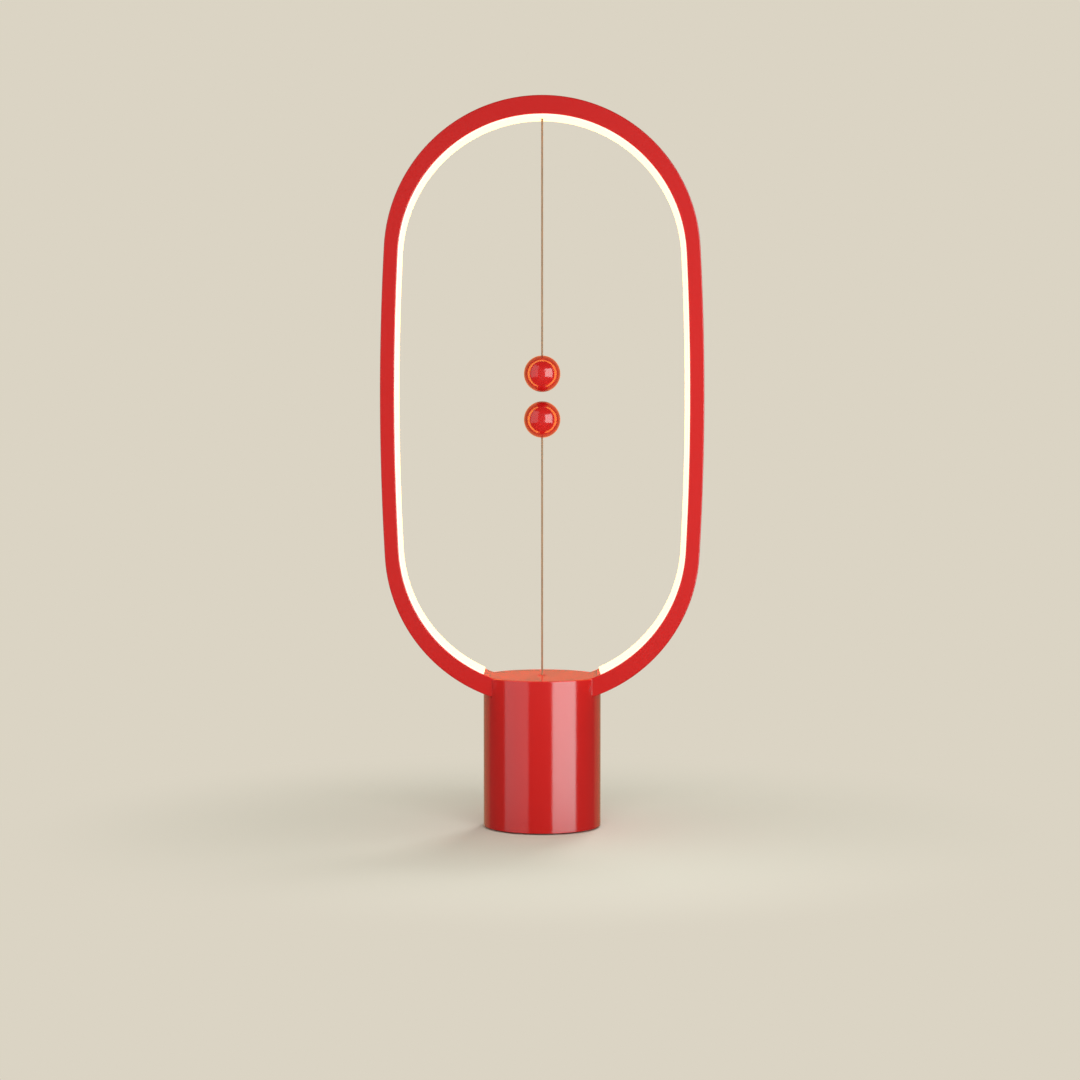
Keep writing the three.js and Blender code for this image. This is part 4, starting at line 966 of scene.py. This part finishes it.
    def ring_light(self, name):
        """The warm light of the ring, as a sheet just clear of the light cover."""
        ring = lamp_settings().ring
        half = ring.half_depth - ring.lip - ring.light_gap - ring.light_round
        end = bottom_turn(ring.light_end + ring.light_gap)
        low = ring.light_proud - ring.light_wall / 2
        high = ring.light_proud + GLOW_CLEARANCE
        section = [(-half, 1.0, low), (half, 1.0, low), (half, 1.0, high), (-half, 1.0, high)]
        return band(name, [(turn, section) for turn in turns_between(-end, end)])

    def only_shines(self, obj, shine_colour, strength, clear=False):
        """Makes a stage sheet give light without being seen or casting a shadow. A clear one
        adds to what lies behind it."""
        material, tree = new_material(obj.name)
        shine = add_node(tree, "ShaderNodeEmission", {"Color": shine_colour, "Strength": strength})
        if clear:
            through = add_node(tree, "ShaderNodeBsdfTransparent")
            shine = add_node(tree, "ShaderNodeAddShader", {0: shine, 1: through})
        add_node(tree, "ShaderNodeOutputMaterial", {"Surface": shine})
        paint(obj, material)
        obj.visible_camera = False
        obj.visible_shadow = False

    def only_mirrored(self, obj, shine_colour, strength, clear=False):
        """Makes a stage sheet show only where the lamp mirrors it."""
        self.only_shines(obj, shine_colour, strength, clear)
        obj.visible_diffuse = False


# Cords


BRAID_RULE = """
    odd = number % 2
    twice_odd = odd * 2
    way = twice_odd - 1
    place_in_set = number - odd
    share = place_in_set / amount
    start_angle = share * full_turn
    turns = height / lay
    wound = turns * full_turn
    signed_wound = wound * way
    angle = start_angle + signed_wound
    crossings = wound * strands
    over = cos crossings
    signed_over = over * way
    half_strand = thickness * 0.5
    weave = signed_over * half_strand
    mean = radius - thickness
    strand_radius = mean + weave
    cosine = cos angle
    sine = sin angle
    x = strand_radius * cosine
    y = strand_radius * sine
    z = height + start_height
"""
POINTS_A_LAY = 14
FEWEST_POINTS = 12
STRAND_SIDES = 6
CORE_SIDES = 12
BEND_STEPS = 12
KNOT_LENGTH = 2.4 * MM


def braid_tree():
    """Strands that wind both ways round a core, each over one and under the next."""
    tree, given = new_tree("braid", [
        "Start Height", "Length", "Radius", "Lay", "Strand Width", "Strand Thickness",
    ], [("Strands Each Way", "Int"), ("Points", "Int")])
    end = add_node(tree, "ShaderNodeCombineXYZ", {"Z": given["Length"]})
    line = add_node(tree, "GeometryNodeCurvePrimitiveLine", {"End": end})
    fine = add_node(
        tree, "GeometryNodeResampleCurve", {"Curve": line, "Count": given["Points"]}, mode="COUNT")
    values = follow(tree, "amount = strands * 2", {"strands": given["Strands Each Way"]})
    copies = add_node(tree, "GeometryNodeDuplicateElements", {
        "Geometry": fine, "Amount": values["amount"]}, domain="SPLINE")
    place = add_node(tree, "GeometryNodeInputPosition")
    values.update({
        "number": copies.outputs["Duplicate Index"],
        "height": add_node(tree, "ShaderNodeSeparateXYZ", {0: place}).outputs["Z"],
        "start_height": given["Start Height"],
        "radius": given["Radius"],
        "lay": given["Lay"],
        "thickness": given["Strand Thickness"],
        "full_turn": 2 * math.pi,
    })
    follow(tree, BRAID_RULE, values)
    spot = add_node(
        tree, "ShaderNodeCombineXYZ", {"X": values["x"], "Y": values["y"], "Z": values["z"]})
    wound = add_node(tree, "GeometryNodeSetPosition", {"Geometry": copies, "Position": spot})
    upright = add_node(tree, "GeometryNodeSetCurveNormal", {"Curve": wound}, mode="Z_UP")
    circle = add_node(
        tree, "GeometryNodeCurvePrimitiveCircle", {"Resolution": STRAND_SIDES, "Radius": 0.5})
    flat = add_node(tree, "ShaderNodeCombineXYZ", {
        "X": given["Strand Thickness"], "Y": given["Strand Width"], "Z": 1.0})
    strand = add_node(tree, "GeometryNodeTransform", {"Geometry": circle, "Scale": flat})
    strands = add_node(tree, "GeometryNodeCurveToMesh", {
        "Curve": upright, "Profile Curve": strand, "Fill Caps": True})
    core_circle = add_node(tree, "GeometryNodeCurvePrimitiveCircle", {
        "Resolution": CORE_SIDES, "Radius": values["mean"]})
    core = add_node(tree, "GeometryNodeCurveToMesh", {
        "Curve": line, "Profile Curve": core_circle, "Fill Caps": True})
    lift = add_node(tree, "ShaderNodeCombineXYZ", {"Z": given["Start Height"]})
    lifted = add_node(tree, "GeometryNodeTransform", {"Geometry": core, "Translation": lift})
    both = add_node(tree, "GeometryNodeJoinGeometry", {0: strands})
    tree.links.new(lifted.outputs[0], both.inputs[0])
    return end_tree(tree, both, given["Material"])


class LAMP_OT_cords(bpy.types.Operator):
    """The two cords, with the ends that hold them and the places where they turn"""
    bl_idname = "magnetic_lamp.cords"
    bl_label = "Cords"

    def execute(self, context):
        tree = braid_tree()
        upper_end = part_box("upper_cord")[0][2]
        lower_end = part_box("lower_cord")[1][2]
        upper = self.braid("hanging_cord", tree, upper_end, UPPER_PIVOT)
        dress(upper, braided_polyester, "upper_pendulum", "cord", "upper_cord")
        lower = self.braid("standing_cord", tree, LOWER_PIVOT, lower_end)
        dress(lower, braided_polyester, "lower_line", "cord", "lower_cord")
        keep_dark(upper)
        keep_dark(lower)
        held = self.braid("held_cord_end", tree, UPPER_PIVOT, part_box("upper_cord_end")[1][2])
        cut(held, self.stopper(), "UNION")
        dress(held, braided_polyester, "lamp_body", "cord", "upper_cord_end")
        tail = self.braid("pulling_cord_end", tree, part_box("cord_tail")[0][2], LOWER_PIVOT)
        dress(tail, braided_polyester, "plunger", "cord", "cord_tail")
        upper_bend = self.bend("upper_bend", UPPER_PIVOT, "upper_swivel", "upper_knot")
        lower_bend = self.bend("lower_bend", LOWER_PIVOT, "lower_swivel", "lower_knot")
        self.declare(upper, upper_bend, UPPER_PIVOT, upper_end, "hanging")
        self.declare(lower, lower_bend, LOWER_PIVOT, lower_end, "taut")
        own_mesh(lower)
        return {"FINISHED"}

    def braid(self, name, tree, bottom, top):
        """An upright stretch of braided cord between two heights."""
        sizes = lamp_settings().cord
        return grow(mesh_object(name), tree, {
            "Start Height": bottom,
            "Length": top - bottom,
            "Radius": sizes.radius,
            "Lay": sizes.lay,
            "Strands Each Way": sizes.strands,
            "Strand Width": sizes.strand_width,
            "Strand Thickness": sizes.strand_thickness,
            "Points": max(FEWEST_POINTS, round(POINTS_A_LAY * (top - bottom) / sizes.lay)),
            "Material": finish(braided_polyester),
        })

    def stopper(self):
        """The knot that keeps the upper cord in its anchor."""
        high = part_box("upper_cord_end")[1]
        radius, top = high[0], high[2]
        bottom = top - KNOT_LENGTH
        return lathe("stopper", rounded([
            (0, bottom, 0), (radius, bottom, radius / 2), (radius, top, radius / 2), (0, top, 0),
        ]), SMALL_STEPS)

    def bend(self, name, height, body, node):
        """The short round stretch in which a cord turns, as thick as the cord."""
        radius = lamp_settings().cord.radius
        profile = arc((0, height), radius, -math.pi / 2, math.pi / 2, BEND_STEPS)
        return dress(lathe(name, profile, SMALL_STEPS), braided_polyester, body, "cord", node)

    def declare(self, obj, bend, start, end, lay):
        """Takes a cord piece, its bend, the heights where it starts and ends, and how it lies, and
        does nothing with them.
        """


# Ring and light


class LAMP_OT_ring_frame(bpy.types.Operator):
    """Ring frame: a channel that is open inwards and closes beside the base"""
    bl_idname = "magnetic_lamp.ring_frame"
    bl_label = "Ring frame"

    def execute(self, context):
        ring = lamp_settings().ring
        light_end = bottom_turn(ring.light_end)
        ring_end = bottom_turn(ring.end_gap)
        closed = self.section(ring, False)
        channel = self.section(ring, True)
        left, right = on_both_sides(light_end, ring_end)
        stations = [(turn, closed) for turn in turns_between(*left)]
        stations += [(turn, channel) for turn in turns_between(-light_end, light_end)]
        stations += [(turn, closed) for turn in turns_between(*right)]
        shell = band("ring_frame_shell", stations, finish(gloss_red_abs))
        # In turns: the wall at the light's end, and how far the cut runs out of the ring's end.
        end_wall, past_end = 0.01, 0.02
        for turns in on_both_sides(light_end + end_wall, ring_end + past_end):
            cut(shell, plain_band(
                "hollow", ring.half_depth - ring.lip, ring.floor_wall, -ring.lip, turns))
        dress(shell, gloss_red_abs, "lamp_body", "red_gloss", "ring_frame")
        return {"FINISHED"}

    def section(self, ring, is_open):
        """Half a section from the outer face round to the channel's floor, mirrored."""
        wall = ring.half_depth - ring.lip
        floor = (wall, 0.0, ring.floor_wall) if is_open else (wall, 1.0, 0.0)
        outer = reversed(corner(ring.half_depth, 0.0, ring.edge, (-1, 1)))
        inner = corner(ring.half_depth, 1.0, ring.edge, (-1, -1))
        lip = reversed(corner(wall, 1.0, ring.lip_edge if is_open else 0.0, (1, -1)))
        return mirrored([(0.0, 0.0, 0.0), *outer, *inner, *lip, floor, (0.0, *floor[1:])])


class LAMP_OT_light_cover(bpy.types.Operator):
    """Light cover: a crowned opal strip on two legs in the ring's channel"""
    bl_idname = "magnetic_lamp.light_cover"
    bl_label = "Light cover"

    def execute(self, context):
        ring = lamp_settings().ring
        half = ring.half_depth - ring.lip - ring.light_gap
        foot = ring.floor_wall + ring.light_gap
        shoulder_share = 0.2
        shoulder = shoulder_share * ring.light_proud
        crown = ring.light_proud - shoulder
        under = ring.light_proud - ring.light_wall
        edge = []
        for i in range(2 * FILLET_STEPS + 1):
            angle = math.pi / 2 * i / (2 * FILLET_STEPS)
            depth = half - ring.light_round * (1 - math.cos(angle))
            edge.append((depth, 1.0, shoulder + crown * math.sin(angle)))
        section = mirrored([
            (0.0, 1.0, under),
            (half - ring.light_wall, 1.0, under),
            (half - ring.light_wall, 0.0, foot),
            (half, 0.0, foot),
            *edge,
            (0.0, 1.0, ring.light_proud),
        ])
        end = bottom_turn(ring.light_end + ring.light_gap)
        cover = band(
            "light_cover", [(turn, section) for turn in turns_between(-end, end)],
            finish(lit_opal_polycarbonate))
        face = RING_HIGH[2] - ring.face_top - ring.light_proud
        reach = ring.light_wall + CUT_OVERRUN
        cut(cover, lathe("drill", [
            (0, face - reach), (ring.cord_hole, face - reach), (ring.cord_hole, face + reach),
            (0, face + reach)], SMALL_STEPS))
        keep_dark(dress(cover, lit_opal_polycarbonate, "lamp_body", "diffuser", "light_diffuser"))
        return {"FINISHED"}


# Base


# How far out the room for the ring starts, in radii of the base, and how high it is, in walls.
ROOM_REACH = 1.4
ROOM_HEIGHT = 8


def ring_entries(base):
    """The turns between which the ring runs into the base, on its left and on its right."""
    return on_both_sides(bottom_turn(base.radius * ROOM_REACH), BOTTOM)


class LAMP_OT_base_shell(bpy.types.Operator):
    """Base shell: a tube with a ledge, two slots for the ring and a port at the back"""
    bl_idname = "magnetic_lamp.base_shell"
    bl_label = "Base shell"

    def execute(self, context):
        base = lamp_settings().base
        ring = lamp_settings().ring
        bottom, top = SHELL_LOW[2], SHELL_HIGH[2]
        inner = base.radius - base.wall
        ledge = base.cover_radius + base.seam
        shell = lathe("base_tube", rounded([
            (inner, bottom, 0),
            (base.radius, bottom, base.low_edge),
            (base.radius, top, base.edge),
            (ledge, top, base.cover_edge),
            (ledge, top - base.cover_wall, 0),
            (inner, top - base.cover_wall, 0),
        ]), 2 * LATHE_STEPS)
        above_ring = ring.face_top + base.wall * ROOM_HEIGHT
        for turns in ring_entries(base):
            cut(shell, plain_band(
                "slot_room", ring.half_depth + base.slot_gap, -base.slot_gap, above_ring, turns))
        port = stadium(base.port_half_width, base.port_half_height, SOCKET_HEIGHT)
        depths = (base.radius - 2 * base.wall, base.radius + CUT_OVERRUN)
        cut(shell, stadium_loft("port", [(port, depth) for depth in depths]))
        dress(shell, gloss_red_abs, "lamp_body", "red_gloss", "base_shell")
        return {"FINISHED"}


class LAMP_OT_top_cover(bpy.types.Operator):
    """Top cover with the eyelet that the lower cord runs through"""
    bl_idname = "magnetic_lamp.top_cover"
    bl_label = "Top cover"

    def execute(self, context):
        base = lamp_settings().base
        ring = lamp_settings().ring
        under = COVER_TOP - base.cover_wall
        sleeve = base.eyelet_sleeve + base.seam
        cover = lathe("top_disc", rounded([
            (sleeve, under, 0),
            (base.cover_radius, under, 0),
            (base.cover_radius, COVER_TOP, base.cover_edge),
            (sleeve, COVER_TOP, 0),
        ]), 2 * LATHE_STEPS)
        for turns in ring_entries(base):
            cut(cover, plain_band(
                "ring_shoulder", ring.half_depth + base.slot_gap, -ring.face_top, base.slot_gap,
                turns))
        dress(cover, gloss_red_abs, "lamp_body", "red_gloss", "top_cover")
        rise = base.eyelet_rise
        bottom = COVER_TOP - base.eyelet_depth
        eyelet = lathe("cord_ring", rounded([
            (base.eyelet_bore, bottom, 0),
            (base.eyelet_sleeve, bottom, 0),
            (base.eyelet_sleeve, COVER_TOP, 0),
            (base.eyelet_flange, COVER_TOP, 0),
            (base.eyelet_bore + rise, COVER_TOP + rise, rise / 2),
            (base.eyelet_bore, COVER_TOP, 0),
        ]), 2 * SMALL_STEPS)
        dress(eyelet, gloss_red_abs, "lamp_body", "red_gloss", "cord_eyelet")
        return {"FINISHED"}


class LAMP_OT_foot_pad(bpy.types.Operator):
    """Foot pad with ring grooves on its underside"""
    bl_idname = "magnetic_lamp.foot_pad"
    bl_label = "Foot pad"

    def execute(self, context):
        base = lamp_settings().base
        radius, top = FOOT_HIGH[0], FOOT_HIGH[2]
        grooves = 5
        pitch = radius / (grooves + 1)
        depth = base.foot_groove / 3
        corners = [(0, 0, 0)]
        for i in range(1, grooves + 1):
            for shift, height in ((-1, 0), (-0.5, depth), (0.5, depth), (1, 0)):
                corners.append((i * pitch + shift * base.foot_groove / 2, height, 0))
        corners += [(radius, 0, base.foot_edge), (radius, top, base.foot_edge / 2), (0, top, 0)]
        pad = lathe("rubber_foot", rounded(corners))
        dress(pad, moulded_rubber, "lamp_body", "rubber", "foot_pad")
        return {"FINISHED"}


SOCKET_WALL = 0.4 * MM


class LAMP_OT_power_socket(bpy.types.Operator):
    """Power socket: a drawn shell with a contact tongue, seen through the port"""
    bl_idname = "magnetic_lamp.power_socket"
    bl_label = "Power socket"

    def execute(self, context):
        wall = SOCKET_WALL
        half_width = SOCKET_HIGH[0]
        half_height = (SOCKET_HIGH[2] - SOCKET_LOW[2]) / 2
        rear, mouth = SOCKET_LOW[1], SOCKET_HIGH[1]
        outer = stadium(half_width, half_height, SOCKET_HEIGHT)
        inner = stadium(half_width - wall, half_height - wall, SOCKET_HEIGHT)
        shell = stadium_loft(
            "socket_shell", [(inner, rear + 2 * wall), (inner, mouth), (outer, mouth), (outer, rear)])
        dress(shell, nickel_plate, "lamp_body", "nickel", "power_socket")
        tongue = stadium(half_width - 3 * wall, wall, SOCKET_HEIGHT)
        depths = (rear + wall, mouth - half_height)
        tongue_piece = stadium_loft("socket_tongue", [(tongue, depth) for depth in depths])
        dress(tongue_piece, black_abs, "lamp_body", "black_plastic")
        return {"FINISHED"}


CURLS = 6.0
STEPS_A_CURL = 32
WIRE_SIDES = 12
SPRING_WIRE = 0.35 * MM


def coil_tree():
    """Round wire wound into a spring."""
    tree, given = new_tree("coil", ["Start Height", "Rise", "Curls", "Radius", "Wire Radius"])
    spiral = add_node(tree, "GeometryNodeCurveSpiral", {
        "Resolution": STEPS_A_CURL,
        "Rotations": given["Curls"],
        "Start Radius": given["Radius"],
        "End Radius": given["Radius"],
        "Height": given["Rise"],
    })
    wire = add_node(tree, "GeometryNodeCurvePrimitiveCircle", {
        "Resolution": WIRE_SIDES, "Radius": given["Wire Radius"]})
    coil = add_node(tree, "GeometryNodeCurveToMesh", {
        "Curve": spiral, "Profile Curve": wire, "Fill Caps": True})
    lift = add_node(tree, "ShaderNodeCombineXYZ", {"Z": given["Start Height"]})
    lifted = add_node(tree, "GeometryNodeTransform", {"Geometry": coil, "Translation": lift})
    return end_tree(tree, lifted, given["Material"])


class LAMP_OT_return_spring(bpy.types.Operator):
    """Return spring round the plunger"""
    bl_idname = "magnetic_lamp.return_spring"
    bl_label = "Return spring"

    def execute(self, context):
        wire = SPRING_WIRE
        spring = grow(mesh_object("coil_spring"), coil_tree(), {
            "Start Height": SPRING_LOW[2] + wire,
            "Rise": SPRING_HIGH[2] - SPRING_LOW[2] - 2 * wire,
            "Curls": CURLS,
            "Radius": SPRING_HIGH[0] - wire,
            "Wire Radius": wire,
            "Material": finish(drawn_spring_steel),
        })
        paint(spring, finish(drawn_spring_steel))
        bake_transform(spring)
        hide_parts("return_spring")
        return {"FINISHED"}


# Balls and inner pieces


BALL_STEPS = 72


class LAMP_OT_balls(bpy.types.Operator):
    """The two balls, each with the plug that closes its magnet's pocket"""
    bl_idname = "magnetic_lamp.balls"
    bl_label = "Balls"

    def execute(self, context):
        radius = lamp_settings().ball.radius
        self.ball("upper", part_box("upper_ball_plug")[0][2] + radius, 1, "upper_pendulum")
        self.ball("lower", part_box("lower_ball_plug")[1][2] - radius, -1, "lower_weight")
        return {"FINISHED"}

    def ball(self, name, centre, way, body):
        """A ball about a height. Its cord leaves upwards where way is 1, and downwards at -1."""
        sizes = lamp_settings().ball
        mouth = sizes.plug + sizes.seam
        mouth_angle = -math.acos(mouth / sizes.radius)
        bore_angle = math.acos((sizes.bore + sizes.bore_edge) / sizes.radius)
        skin = arc((0, 0), sizes.radius, mouth_angle, bore_angle, BALL_STEPS)
        crimp_top = sizes.pocket_top + sizes.crimp_length
        shell = self.turned(f"{name}_ball_shell", centre, way, [
            (mouth, -sizes.pocket_top),
            *skin,
            (sizes.bore, skin[-1][1] - sizes.bore_edge),
            (sizes.bore, crimp_top),
            (sizes.crimp, crimp_top),
            (sizes.crimp, -sizes.pocket_top),
        ], LATHE_STEPS)
        keep_dark(dress(shell, gloss_red_abs, body, "red_gloss", f"{name}_ball"))
        link_group("ball_rims", shell)
        plug_angle = -math.acos(sizes.plug / sizes.radius)
        face = arc((0, 0), sizes.radius, -math.pi / 2, plug_angle, ARC_STEPS)
        back = sizes.plug_depth - sizes.radius
        plug = self.turned(
            f"{name}_ball_cap", centre, way, [*face, (sizes.plug, back), (0, back)], 2 * SMALL_STEPS)
        keep_dark(dress(plug, gloss_red_abs, body, "red_gloss", f"{name}_ball_plug"))

    def turned(self, name, centre, way, profile, steps):
        """A turned piece of a ball, whose profile says its heights from the ball's middle."""
        return lathe(name, [(radius, centre + way * up) for radius, up in profile], steps)


INNER_FINISHES = {
    black_abs: ("bottom_cover", "microswitch_body"),
    cast_iron: ("ballast",),
    zinc_plated_steel: (
        "ballast_screw", *(f"cover_screw_{i}" for i in range(1, 5)),
        *(f"saddle_screw_{i}" for i in range(1, 5)), *(f"board_screw_{i}" for i in range(1, 4)),
        "ring_screw_left", "ring_screw_right", "bracket_screw_front", "bracket_screw_back"),
    plain_red_abs: ("ring_saddle",),
    moulded_nylon: ("cord_anchor", "switch_bracket", "switch_plunger"),
    drawn_spring_steel: ("switch_lever", "plunger_clip"),
    white_nylon: ("switch_button", "led_strip_left", "led_strip_right", "lead_connector"),
    soft_insulation: ("led_lead_left", "led_lead_right", "switch_lead"),
    glass_fibre_board: ("control_board",),
    nickel_plate: ("upper_magnet", "lower_magnet"),
    turned_brass: ("upper_crimp", "lower_crimp"),
}


class LAMP_OT_inner_finishes(bpy.types.Operator):
    """Finishes of the pieces that keep their modelled shape"""
    bl_idname = "magnetic_lamp.inner_finishes"
    bl_label = "Inner finishes"

    def execute(self, context):
        for maker, nodes in INNER_FINISHES.items():
            for node in nodes:
                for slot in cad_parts[node].material_slots:
                    slot.material = finish(maker)
        return {"FINISHED"}


class LAMP_PT_panel(bpy.types.Panel):
    """The lamp's steps"""
    bl_idname = "LAMP_PT_panel"
    bl_label = "Magnetic lamp"
    bl_space_type = "VIEW_3D"
    bl_region_type = "UI"
    bl_category = "Lamp"

    def draw(self, context):
        for operator in OPERATORS:
            self.layout.operator(operator.bl_idname)


GROUPS = (RingSizes, BaseSizes, BallSizes, CordSizes, LampColours, StageSettings, LampSettings)
OPERATORS = (
    LAMP_OT_stage,
    LAMP_OT_cords,
    LAMP_OT_ring_frame,
    LAMP_OT_light_cover,
    LAMP_OT_base_shell,
    LAMP_OT_top_cover,
    LAMP_OT_balls,
    LAMP_OT_foot_pad,
    LAMP_OT_return_spring,
    LAMP_OT_power_socket,
    LAMP_OT_inner_finishes,
)


def register():
    for item in (*GROUPS, *OPERATORS, LAMP_PT_panel):
        bpy.utils.register_class(item)
    bpy.types.Scene.magnetic_lamp = PointerProperty(type=LampSettings)


def unregister():
    del bpy.types.Scene.magnetic_lamp
    for item in reversed((*GROUPS, *OPERATORS, LAMP_PT_panel)):
        bpy.utils.unregister_class(item)


def main():
    register()
    for operator in OPERATORS:
        group, name = operator.bl_idname.split(".")
        getattr(getattr(bpy.ops, group), name)()


if __name__ == "__main__":
    main()
